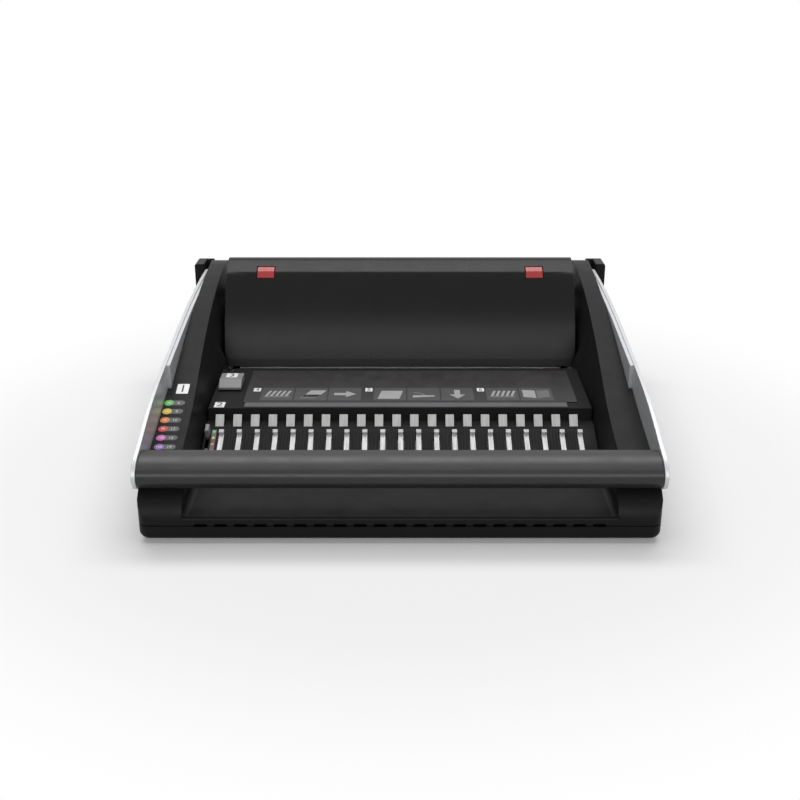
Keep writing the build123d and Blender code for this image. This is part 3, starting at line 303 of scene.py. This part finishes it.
WELD_DISTANCE = 0.002 * MM
FLAT_ANGLE = math.radians(0.4)
SHARP_ANGLE = math.radians(28.0)
EDGE_STEPS = 2

# Node, piece that stands for it, finish, share of the housing edge that its edges are rounded by
HOUSING_SHELLS = (
    ("side_housing_left", "side_shell_left", "housing", 1.0),
    ("pivot_ear_left", "ear_shell_left", "housing", 1.0),
    ("side_housing_right", "side_shell_right", "housing", 1.0),
    ("pivot_ear_right", "ear_shell_right", "housing", 1.0),
    ("base_tray", "tray_shell", "housing", 0.25),
    ("front_ledge", "ledge_shell", "housing", 0.25),
    ("rear_cover", "rear_shell", "housing", 0.5),
    ("chip_tray", "chip_drawer", "housing", 0.5),
    ("rubber_feet", "foot_pads", "rubber", 0.5),
)
SLIDER_SHELLS = (
    ("edge_guide_knob", "guide_knob", "grey", 0.5),
    ("comb_size_selector", "selector_knob", "grey", 0.3),
)
HANDLE_SHELLS = (
    ("handle_bar", "grip_bar", "grip", 0.6),
    ("handle_arm_left", "silver_arm_left", "silver", 0.8),
    ("handle_arm_right", "silver_arm_right", "silver", 0.8),
)
LID_SHELLS = (
    ("lid", "lid_shell", "lid", 0.6),
    ("lid_latch_left", "latch_button_left", "latch", 0.4),
    ("lid_latch_right", "latch_button_right", "latch", 0.4),
)
# The same for thin plates, as a share of the plate edge
PLATE_SHELLS = (
    ("comb_deck", "deck_shell", "deck", 0.25),
    ("tine_plate", "tines", "tine", 1.0),
    ("finger_plate", "fingers", "strip", 1.0),
    ("deck_trim", "trim_strip", "trim", 1.0),
    ("instruction_plate", "instruction_film", "instruction_film", 1.0),
)


def body_of_node(node):
    bodies = frame["record"]["behaviour"]["bodies"]
    return next(name for name, nodes in bodies.items() if node in nodes)


def add_piece(name, mesh, finish, body):
    """Puts a mesh in the scene as a piece that rides on a body of the machine."""
    piece = bpy.data.objects.new(name, mesh)
    bpy.context.scene.collection.objects.link(piece)
    set_finish(mesh, finish)
    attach(piece, body)
    return piece


def rounded_shell(node, name, finish, edge):
    """Stands for a CAD node: its own form, welded, with rounded edges and smooth curves."""
    work = bmesh.new()
    work.from_mesh(frame["nodes"][node].data)
    bmesh.ops.remove_doubles(work, verts=work.verts, dist=WELD_DISTANCE)
    bmesh.ops.dissolve_limit(work, angle_limit=FLAT_ANGLE, verts=work.verts, edges=work.edges)
    mesh = bpy.data.meshes.new(name)
    work.to_mesh(mesh)
    work.free()
    mesh.polygons.foreach_set("use_smooth", [True] * len(mesh.polygons))
    mesh.set_sharp_from_angle(angle=SHARP_ANGLE)
    piece = add_piece(name, mesh, finish, body_of_node(node))
    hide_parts(node)
    if edge > 0:
        bevel = piece.modifiers.new("rounded_edges", "BEVEL")
        bevel.width = edge
        bevel.segments = EDGE_STEPS
        bevel.limit_method = "ANGLE"
        bevel.angle_limit = SHARP_ANGLE
        bevel.harden_normals = False
        bevel.use_clamp_overlap = True
    weighted = piece.modifiers.new("even_shading", "WEIGHTED_NORMAL")
    weighted.keep_sharp = True


def dress(shells, edge):
    for node, name, finish, share in shells:
        rounded_shell(node, name, finish, edge * share)


# ---- Labels: outlines and places are in millimetres, thicknesses in metres ----

RAY_HEIGHT = 0.5
FONT_SHARE = 1.38           # font size over the height of its numerals
PRINT_THICKNESS = 0.05 * MM
NUMERAL_THICKNESS = 0.08 * MM
CORNER_STEPS = 5


def surface_of(node):
    mesh = frame["nodes"][node].data
    return BVHTree.FromPolygons([v.co for v in mesh.vertices], [tuple(p.vertices) for p in mesh.polygons])


def seat(tree, x, y, lift=0.0):
    """Matrix that lays a label drawn in the XY plane on the surface below (x, y)."""
    place, normal, _, _ = tree.ray_cast(Vector((x * MM, y * MM, RAY_HEIGHT)), -UP)
    if place is None:
        raise RuntimeError(f"no surface below {x:.1f}, {y:.1f} mm")
    back = normal.cross(ACROSS).normalized()
    turn = Matrix((ACROSS, back, normal)).transposed().to_4x4()
    return Matrix.Translation(place + normal * lift) @ turn


def moved(matrix, x, lift):
    """The same seat, moved along the label and up from it."""
    return matrix @ Matrix.Translation((x * MM, 0.0, lift))


def lay_prism(work, outline, matrix, thickness):
    """Adds a flat plate with the given outline, laid by the matrix and raised by the thickness."""
    corners = [work.verts.new(matrix @ Vector((x * MM, y * MM, 0.0))) for x, y in outline]
    lower = work.faces.new(corners)
    raised = bmesh.ops.extrude_face_region(work, geom=[lower])
    top = [item for item in raised["geom"] if isinstance(item, bmesh.types.BMVert)]
    bmesh.ops.translate(work, verts=top, vec=matrix.to_3x3() @ Vector((0.0, 0.0, thickness)))


def rounded_outline(width, height, radius):
    points = []
    for cx, cy, start in ((1, 1, 0), (-1, 1, 90), (-1, -1, 180), (1, -1, 270)):
        for step in range(CORNER_STEPS + 1):
            angle = math.radians(start + 90.0 * step / CORNER_STEPS)
            points.append((cx * (width / 2 - radius) + radius * math.cos(angle),
                           cy * (height / 2 - radius) + radius * math.sin(angle)))
    return points


def disc_outline(radius, steps):
    turns = [math.tau * i / steps for i in range(steps)]
    return [(radius * math.cos(turn), radius * math.sin(turn)) for turn in turns]


def add_text(work, text, height, matrix, thickness=PRINT_THICKNESS):
    """Adds numerals, turned into a mesh, centred on the matrix."""
    curve = bpy.data.curves.new("numerals", "FONT")
    curve.body = text
    curve.size = height * MM * FONT_SHARE
    curve.align_x = "CENTER"
    curve.align_y = "CENTER"
    curve.extrude = thickness / 2
    curve.resolution_u = 3
    carrier = bpy.data.objects.new("numerals", curve)
    bpy.context.scene.collection.objects.link(carrier)
    bpy.context.view_layer.update()
    mesh = bpy.data.meshes.new_from_object(carrier)
    mesh.transform(matrix @ Matrix.Translation((0.0, 0.0, thickness / 2)))
    work.from_mesh(mesh)
    bpy.data.objects.remove(carrier)
    bpy.data.curves.remove(curve)
    bpy.data.meshes.remove(mesh)


def new_piece(name, work, finish, body="housing"):
    """Turns a finished bmesh into a piece of the machine, by default a label on the housing."""
    bmesh.ops.recalc_face_normals(work, faces=work.faces)
    mesh = bpy.data.meshes.new(name)
    work.to_mesh(mesh)
    work.free()
    add_piece(name, mesh, finish, body)


# Numeral, node it lies on, centre x and y, width and height
STEP_LABELS = (
    ("1", "side_housing_left", -174.4, -57.8, 9.6, 12.4),
    ("2", "comb_deck", -147.6, -46.6, 8.4, 10.6),
    ("3", "edge_guide_knob", -143.5, 0.2, 9.4, 9.6),
)
STEP_RADIUS = 0.6
STEP_NUMERAL_SHARE = 0.78

# Finish, centre x and y, comb size, sheets it holds
CHART_ROWS = (
    ("green_print", -182.5, -75.3, "6", "20"),
    ("yellow_print", -182.3, -85.9, "8", "35"),
    ("orange_print", -182.0, -97.0, "10", "60"),
    ("red_print", -181.5, -108.2, "12", "90"),
    ("pink_print", -181.0, -119.6, "16", "130"),
    ("purple_print", -180.4, -131.0, "19", "160"),
)
PILL_WIDTH = 13.5
PILL_HEIGHT = 6.2
PILL_RADIUS = 3.05
PILL_SHIFT = 5.8
PILL_LAYER = 0.6            # thickness as a share of a label's
CHART_DOT_RADIUS = 3.7
SHEETS_HEIGHT = 2.3
SIZE_HEIGHT = 2.9
SIZE_SHIFT = 7.6

SCALE_X = -148.6
SCALE_Y = -90.0
SCALE_WIDTH = 3.6
SCALE_LENGTH = 40.0
SCALE_RADIUS = 0.6
SCALE_LAYER = 0.4
SCALE_DOT_RADIUS = 1.35
SCALE_DOT_Y = -73.5
SCALE_DOT_STEP = 6.4
SCALE_DOT_LAYER = 0.7

TILE_WIDTH = 27.0
TILE_HEIGHT = 27.0
TILE_RADIUS = 0.8
TILE_GAP = 1.2
TILE_Y = -26.0
TILE_LAYER = 0.4
MID_LAYER = 0.2
PALE_LAYER = 0.3
TAG_WIDTH = 6.0
TAG_HEIGHT = 7.0
TAG_RADIUS = 0.5
TAG_SHIFT = -4.2
TAG_DROP = 4.0
TAG_NUMERAL = 5.4


# ---- Drawings for the tiles: (shade, outline) pairs around the middle of a tile ----

def slanted(x, y, width, height, lean):
    return [(x, y), (x + width, y), (x + width + lean, y + height), (x + lean, y + height)]


def draw_sheets():
    """A stack of sheets."""
    under = [("mid", slanted(-9 + 1.5 * i, -9 + 2.6 * i, 13, 9, 4)) for i in range(3)]
    return under + [("pale", slanted(-4.5, -1.2, 13, 9, 4))]


def draw_holes():
    """A sheet with a row of punched slots."""
    slots = [("mid", slanted(-8.2 + 3.1 * i, -7.5, 1.7, 4.2, 0.6)) for i in range(5)]
    return [("pale", slanted(-10, -10, 18, 17, 3))] + slots


def draw_arrow(turn):
    shape = [(-9, -2.4), (1, -2.4), (1, -6.5), (9.5, 0), (1, 6.5), (1, 2.4), (-9, 2.4)]
    angle = math.radians(turn)
    return [("pale", [(x * math.cos(angle) - y * math.sin(angle), x * math.sin(angle) + y * math.cos(angle))
                      for x, y in shape])]


def draw_comb():
    """A plastic comb with its rings."""
    spine = [("mid", slanted(-11, -7, 21, 3.4, 1))]
    return spine + [("pale", slanted(-10 + 4.1 * i, -4, 2.2, 11, 3)) for i in range(5)]


def arc_about_pivot(radius, degrees):
    angles = [math.radians(a) for a in degrees]
    return [(radius * math.cos(a) - 7, radius * math.sin(a) - 5) for a in angles]


def draw_lever():
    """A handle swung down on its arm."""
    swing = arc_about_pivot(9, range(10, 101, 15)) + arc_about_pivot(7, range(100, 9, -15))
    return [("mid", swing), ("pale", [(-9, -7.4), (9, -5.2), (9, -2.8), (-9, -2.6)])]


def draw_book():
    """A bound booklet, opened."""
    return [("pale", [(-11, -6), (-0.6, -8.5), (-0.6, 7.5), (-11, 9)]),
            ("mid", [(0.6, -8.5), (11, -6), (11, 9), (0.6, 7.5)])]


DRAWINGS = {
    "sheets": draw_sheets,
    "holes": draw_holes,
    "push": lambda: draw_arrow(-90),
    "pull": lambda: draw_arrow(0),
    "comb": draw_comb,
    "lever": draw_lever,
    "book": draw_book,
}

# Group number, x where its tiles start, drawings in order
TILE_GROUPS = (
    ("4", -116.0, ("comb", "sheets", "pull")),
    ("5", -22.0, ("holes", "lever", "push")),
    ("6", 72.0, ("comb", "book")),
)


# ---- Operators, one for each group of pieces ----

class BINDER_OT_housings(bpy.types.Operator):
    """Round off the base tray, the side housings, the front ledge and the rear cover"""
    bl_idname = "binder.housings"
    bl_label = "Housings"

    def execute(self, context):
        dress(HOUSING_SHELLS, context.scene.binder_sizes.housing_edge)
        return {"FINISHED"}


class BINDER_OT_deck(bpy.types.Operator):
    """Dress the comb deck, its tines and fingers, and the plates and sliders that lie on it"""
    bl_idname = "binder.deck"
    bl_label = "Comb deck"

    def execute(self, context):
        sizes = context.scene.binder_sizes
        dress(PLATE_SHELLS, sizes.plate_edge)
        dress(SLIDER_SHELLS, sizes.housing_edge)
        return {"FINISHED"}


RIB_SPACING = 2.6 * MM
RIB_SINK = 0.2 * MM
RIB_TOP_SHARE = 0.5


class BINDER_OT_deck_ribs(bpy.types.Operator):
    """Lay fine raised ribs on the slope between the finger slots"""
    bl_idname = "binder.deck_ribs"
    bl_label = "Deck ribs"

    def execute(self, context):
        sizes = context.scene.binder_sizes
        along = Vector((0.0, math.cos(DECK_TILT), math.sin(DECK_TILT)))
        out = Vector((0.0, -math.sin(DECK_TILT), math.cos(DECK_TILT)))
        half, height = sizes.rib_width / 2, sizes.rib_height
        half_top = half * RIB_TOP_SHARE
        work = bmesh.new()
        for bay in range(COMB_HOLES - 1):
            middle = (bay - COMB_HOLES / 2 + 1) * COMB_PITCH + sizes.finger_shift
            for x in (middle - RIB_SPACING, middle, middle + RIB_SPACING):
                section = [(x - half, -RIB_SINK), (x - half_top, height), (x + half_top, height),
                           (x + half, -RIB_SINK)]
                near, far = ([work.verts.new(Vector((px, *sizes.deck_foot)) + along * s + out * n)
                              for px, n in section] for s in (sizes.rib_start, sizes.rib_end))
                work.faces.new(near)
                work.faces.new(far)
                for i in range(4):
                    work.faces.new((near[i], near[(i + 1) % 4], far[(i + 1) % 4], far[i]))
        new_piece("deck_ribs", work, "deck")
        return {"FINISHED"}


class BINDER_OT_number_labels(bpy.types.Operator):
    """Set the three white step labels with plain numerals"""
    bl_idname = "binder.number_labels"
    bl_label = "Step labels"

    def execute(self, context):
        lift = context.scene.binder_sizes.label_lift
        for text, node, x, y, width, height in STEP_LABELS:
            plate, numeral = bmesh.new(), bmesh.new()
            tree = surface_of(node)
            lay_prism(plate, rounded_outline(width, height, STEP_RADIUS), seat(tree, x, y), lift)
            add_text(numeral, text, height * STEP_NUMERAL_SHARE, seat(tree, x, y, lift), NUMERAL_THICKNESS)
            new_piece(f"step_label_{text}", plate, "white_print", body_of_node(node))
            new_piece(f"step_numeral_{text}", numeral, "dark_print", body_of_node(node))
        return {"FINISHED"}


class BINDER_OT_size_chart(bpy.types.Operator):
    """Lay the comb size chart: coloured dots with plain numbers beside grey size pills"""
    bl_idname = "binder.size_chart"
    bl_label = "Comb size chart"

    def execute(self, context):
        lift = context.scene.binder_sizes.label_lift
        tree = surface_of("side_housing_left")
        pill = [(x + PILL_SHIFT, y) for x, y in rounded_outline(PILL_WIDTH, PILL_HEIGHT, PILL_RADIUS)]
        pills, figures, sheets = bmesh.new(), bmesh.new(), bmesh.new()
        for finish, x, y, size, count in CHART_ROWS:
            low, top = seat(tree, x, y), seat(tree, x, y, lift)
            lay_prism(pills, pill, low, lift * PILL_LAYER)
            dot = bmesh.new()
            lay_prism(dot, disc_outline(CHART_DOT_RADIUS, 28), low, lift)
            new_piece(f"size_dot_{size}", dot, finish)
            add_text(sheets, count, SHEETS_HEIGHT, top)
            add_text(figures, size, SIZE_HEIGHT, moved(top, SIZE_SHIFT, lift * (PILL_LAYER - 1.0)))
        new_piece("size_pills", pills, "grey_pill_print")
        new_piece("size_figures", figures, "pale_print")
        new_piece("sheet_figures", sheets, "white_print")
        return {"FINISHED"}


class BINDER_OT_selector_scale(bpy.types.Operator):
    """Set the small coloured dots beside the comb size selector"""
    bl_idname = "binder.selector_scale"
    bl_label = "Selector scale"

    def execute(self, context):
        lift = context.scene.binder_sizes.label_lift
        tree = surface_of("comb_deck")
        base = bmesh.new()
        strip = rounded_outline(SCALE_WIDTH, SCALE_LENGTH, SCALE_RADIUS)
        lay_prism(base, strip, seat(tree, SCALE_X, SCALE_Y), lift * SCALE_LAYER)
        new_piece("scale_strip", base, "grey_pill_print")
        for index, (finish, _, _, size, _) in enumerate(CHART_ROWS):
            dot = bmesh.new()
            place = seat(tree, SCALE_X, SCALE_DOT_Y - SCALE_DOT_STEP * index)
            lay_prism(dot, disc_outline(SCALE_DOT_RADIUS, 20), place, lift * SCALE_DOT_LAYER)
            new_piece(f"scale_dot_{size}", dot, finish)
        return {"FINISHED"}


class BINDER_OT_pictograms(bpy.types.Operator):
    """Lay the instruction tiles with generic drawings of sheets, combs and arrows"""
    bl_idname = "binder.pictograms"
    bl_label = "Pictogram tiles"

    def execute(self, context):
        lift = context.scene.binder_sizes.label_lift
        tree = surface_of("instruction_plate")
        tiles, pale, mid, tags, figures = (bmesh.new() for _ in range(5))
        shades = {"mid": (mid, lift * MID_LAYER), "pale": (pale, lift * PALE_LAYER)}
        for text, start, drawings in TILE_GROUPS:
            for place, drawing in enumerate(drawings):
                x = start + TILE_WIDTH * (place + 0.5) + TILE_GAP * place
                back = rounded_outline(TILE_WIDTH, TILE_HEIGHT, TILE_RADIUS)
                lay_prism(tiles, back, seat(tree, x, TILE_Y), lift * TILE_LAYER)
                top = seat(tree, x, TILE_Y, lift * TILE_LAYER)
                for shade, outline in DRAWINGS[drawing]():
                    work, thickness = shades[shade]
                    lay_prism(work, outline, top, thickness)
            tag = seat(tree, start + TAG_SHIFT, TILE_Y + TILE_HEIGHT / 2 - TAG_DROP)
            lay_prism(tags, rounded_outline(TAG_WIDTH, TAG_HEIGHT, TAG_RADIUS), tag, lift * TILE_LAYER)
            add_text(figures, text, TAG_NUMERAL, moved(tag, 0.0, lift * TILE_LAYER))
        new_piece("tile_backs", tiles, "tile_print")
        new_piece("tile_drawings_mid", mid, "tile_mid_print")
        new_piece("tile_drawings_pale", pale, "tile_pale_print")
        new_piece("tile_tags", tags, "white_print")
        new_piece("tile_figures", figures, "dark_print")
        return {"FINISHED"}


class BINDER_OT_handle(bpy.types.Operator):
    """Dress the handle bar and its two silver arms"""
    bl_idname = "binder.handle"
    bl_label = "Handle"

    def execute(self, context):
        dress(HANDLE_SHELLS, context.scene.binder_sizes.housing_edge)
        return {"FINISHED"}


class BINDER_OT_lid(bpy.types.Operator):
    """Dress the lid and its two latch buttons"""
    bl_idname = "binder.lid"
    bl_label = "Lid"

    def execute(self, context):
        dress(LID_SHELLS, context.scene.binder_sizes.housing_edge)
        return {"FINISHED"}


# ---- Stage ----

CAMERA_PLACE = (0.0, -0.8917, 0.3899)
CAMERA_TILT = 68.5
LENS = 50.0
SENSOR_WIDTH = 36.0

FLOOR_SIZE = 8.0
FLOOR_GREY = 0.80
FADE_START = 0.26
FADE_END = 0.48
LEAST_GLOW = 0.12
WORLD_DIFFUSE = 0.16

# Name, place, aim, size, power in watts, whether glossy surfaces mirror it
LAMPS = (
    ("back_panel", (0.0, 0.62, 1.40), (0.0, 0.05, 0.08), (1.6, 0.42), 10.0, True),
    ("overhead_fill", (0.0, 0.15, 1.90), (0.0, 0.0, 0.0), (2.6, 1.8), 26.0, False),
    ("front_panel", (0.0, -2.3, 1.1), (0.0, 0.0, 0.05), (2.4, 0.9), 22.0, True),
)


def make_floor():
    """Pale floor that keeps the shadow near the machine and fades to white further out."""
    mesh = bpy.data.meshes.new("floor")
    work = bmesh.new()
    bmesh.ops.create_grid(work, x_segments=1, y_segments=1, size=FLOOR_SIZE)
    work.to_mesh(mesh)
    work.free()
    floor = bpy.data.objects.new("floor", mesh)
    bpy.context.scene.collection.objects.link(floor)
    material, nodes, links, shader = new_material("studio_floor")
    shader.inputs["Base Color"].default_value = (FLOOR_GREY, FLOOR_GREY, FLOOR_GREY, 1.0)
    shader.inputs["Roughness"].default_value = 0.9
    shader.inputs["Specular IOR Level"].default_value = 0.1
    path = nodes.new("ShaderNodeLightPath")
    place = nodes.new("ShaderNodeTexCoord")
    reach = nodes.new("ShaderNodeVectorMath")
    reach.operation = "LENGTH"
    links.new(place.outputs["Object"], reach.inputs[0])
    fade = nodes.new("ShaderNodeMapRange")
    fade.interpolation_type = "SMOOTHSTEP"
    fade.inputs["From Min"].default_value = FADE_START
    fade.inputs["From Max"].default_value = FADE_END
    fade.inputs["To Min"].default_value = LEAST_GLOW
    links.new(reach.outputs["Value"], fade.inputs["Value"])
    seen = nodes.new("ShaderNodeMath")
    seen.operation = "MULTIPLY"
    links.new(path.outputs["Is Camera Ray"], seen.inputs[0])
    links.new(fade.outputs["Result"], seen.inputs[1])
    white = nodes.new("ShaderNodeEmission")
    white.inputs["Color"].default_value = (1.0, 1.0, 1.0, 1.0)
    mix = nodes.new("ShaderNodeMixShader")
    links.new(seen.outputs["Value"], mix.inputs["Fac"])
    links.new(shader.outputs["BSDF"], mix.inputs[1])
    links.new(white.outputs["Emission"], mix.inputs[2])
    links.new(mix.outputs["Shader"], nodes["Material Output"].inputs["Surface"])
    mesh.materials.append(material)


def make_world():
    """White for camera, glossy and transmission rays, and dim for diffuse light."""
    world = bpy.data.worlds.new("studio")
    bpy.context.scene.world = world
    world.use_nodes = True
    nodes = world.node_tree.nodes
    links = world.node_tree.links
    sky = nodes["Background"]
    sky.inputs["Color"].default_value = (1.0, 1.0, 1.0, 1.0)
    path = nodes.new("ShaderNodeLightPath")
    shown = path.outputs["Is Camera Ray"]
    for other in ("Is Glossy Ray", "Is Transmission Ray"):
        either = nodes.new("ShaderNodeMath")
        either.operation = "MAXIMUM"
        links.new(shown, either.inputs[0])
        links.new(path.outputs[other], either.inputs[1])
        shown = either.outputs["Value"]
    level = nodes.new("ShaderNodeMapRange")
    level.inputs["To Min"].default_value = WORLD_DIFFUSE
    level.inputs["To Max"].default_value = 1.0
    links.new(shown, level.inputs["Value"])
    links.new(level.outputs["Result"], sky.inputs["Strength"])


def add_lamp(name, place, aim, size, power, glossy):
    data = bpy.data.lights.new(name, "AREA")
    data.shape = "RECTANGLE"
    data.size, data.size_y = size
    data.energy = power
    lamp = bpy.data.objects.new(name, data)
    bpy.context.scene.collection.objects.link(lamp)
    lamp.location = place
    lamp.visible_glossy = glossy
    lamp.rotation_euler = (Vector(aim) - Vector(place)).to_track_quat("-Z", "Y").to_euler()


def add_camera():
    data = bpy.data.cameras.new("camera")
    data.lens = LENS
    data.sensor_width = SENSOR_WIDTH
    camera = bpy.data.objects.new("camera", data)
    bpy.context.scene.collection.objects.link(camera)
    camera.location = CAMERA_PLACE
    camera.rotation_euler = (math.radians(CAMERA_TILT), 0.0, 0.0)
    bpy.context.scene.camera = camera


class BINDER_OT_stage(bpy.types.Operator):
    """Set out the floor, the soft studio lamps and the camera"""
    bl_idname = "binder.stage"
    bl_label = "Stage"

    def execute(self, context):
        make_floor()
        make_world()
        for lamp in LAMPS:
            add_lamp(*lamp)
        add_camera()
        context.scene.view_settings.view_transform = "Standard"
        return {"FINISHED"}


class BINDER_PT_panel(bpy.types.Panel):
    """Lists the pieces of the machine"""
    bl_idname = "BINDER_PT_panel"
    bl_label = "Comb binder"
    bl_space_type = "VIEW_3D"
    bl_region_type = "UI"
    bl_category = "Comb binder"

    def draw(self, context):
        layout = self.layout
        for group in (context.scene.binder_sizes, context.scene.binder_colours):
            for name in group.__annotations__:
                layout.prop(group, name)
        for operator in OPERATORS:
            layout.operator(operator.bl_idname)


OPERATORS = (BINDER_OT_housings, BINDER_OT_deck, BINDER_OT_deck_ribs, BINDER_OT_number_labels,
             BINDER_OT_size_chart, BINDER_OT_selector_scale, BINDER_OT_pictograms, BINDER_OT_handle,
             BINDER_OT_lid, BINDER_OT_stage)
CLASSES = (BinderSizes, BinderColours) + OPERATORS + (BINDER_PT_panel,)


def register():
    for cls in CLASSES:
        bpy.utils.register_class(cls)
    bpy.types.Scene.binder_sizes = PointerProperty(type=BinderSizes)
    bpy.types.Scene.binder_colours = PointerProperty(type=BinderColours)


def unregister():
    del bpy.types.Scene.binder_colours
    del bpy.types.Scene.binder_sizes
    for cls in reversed(CLASSES):
        bpy.utils.unregister_class(cls)


def main():
    register()
    make_finishes()
    for operator in OPERATORS:
        group, name = operator.bl_idname.split(".")
        getattr(getattr(bpy.ops, group), name)()


if __name__ == "__main__":
    main()
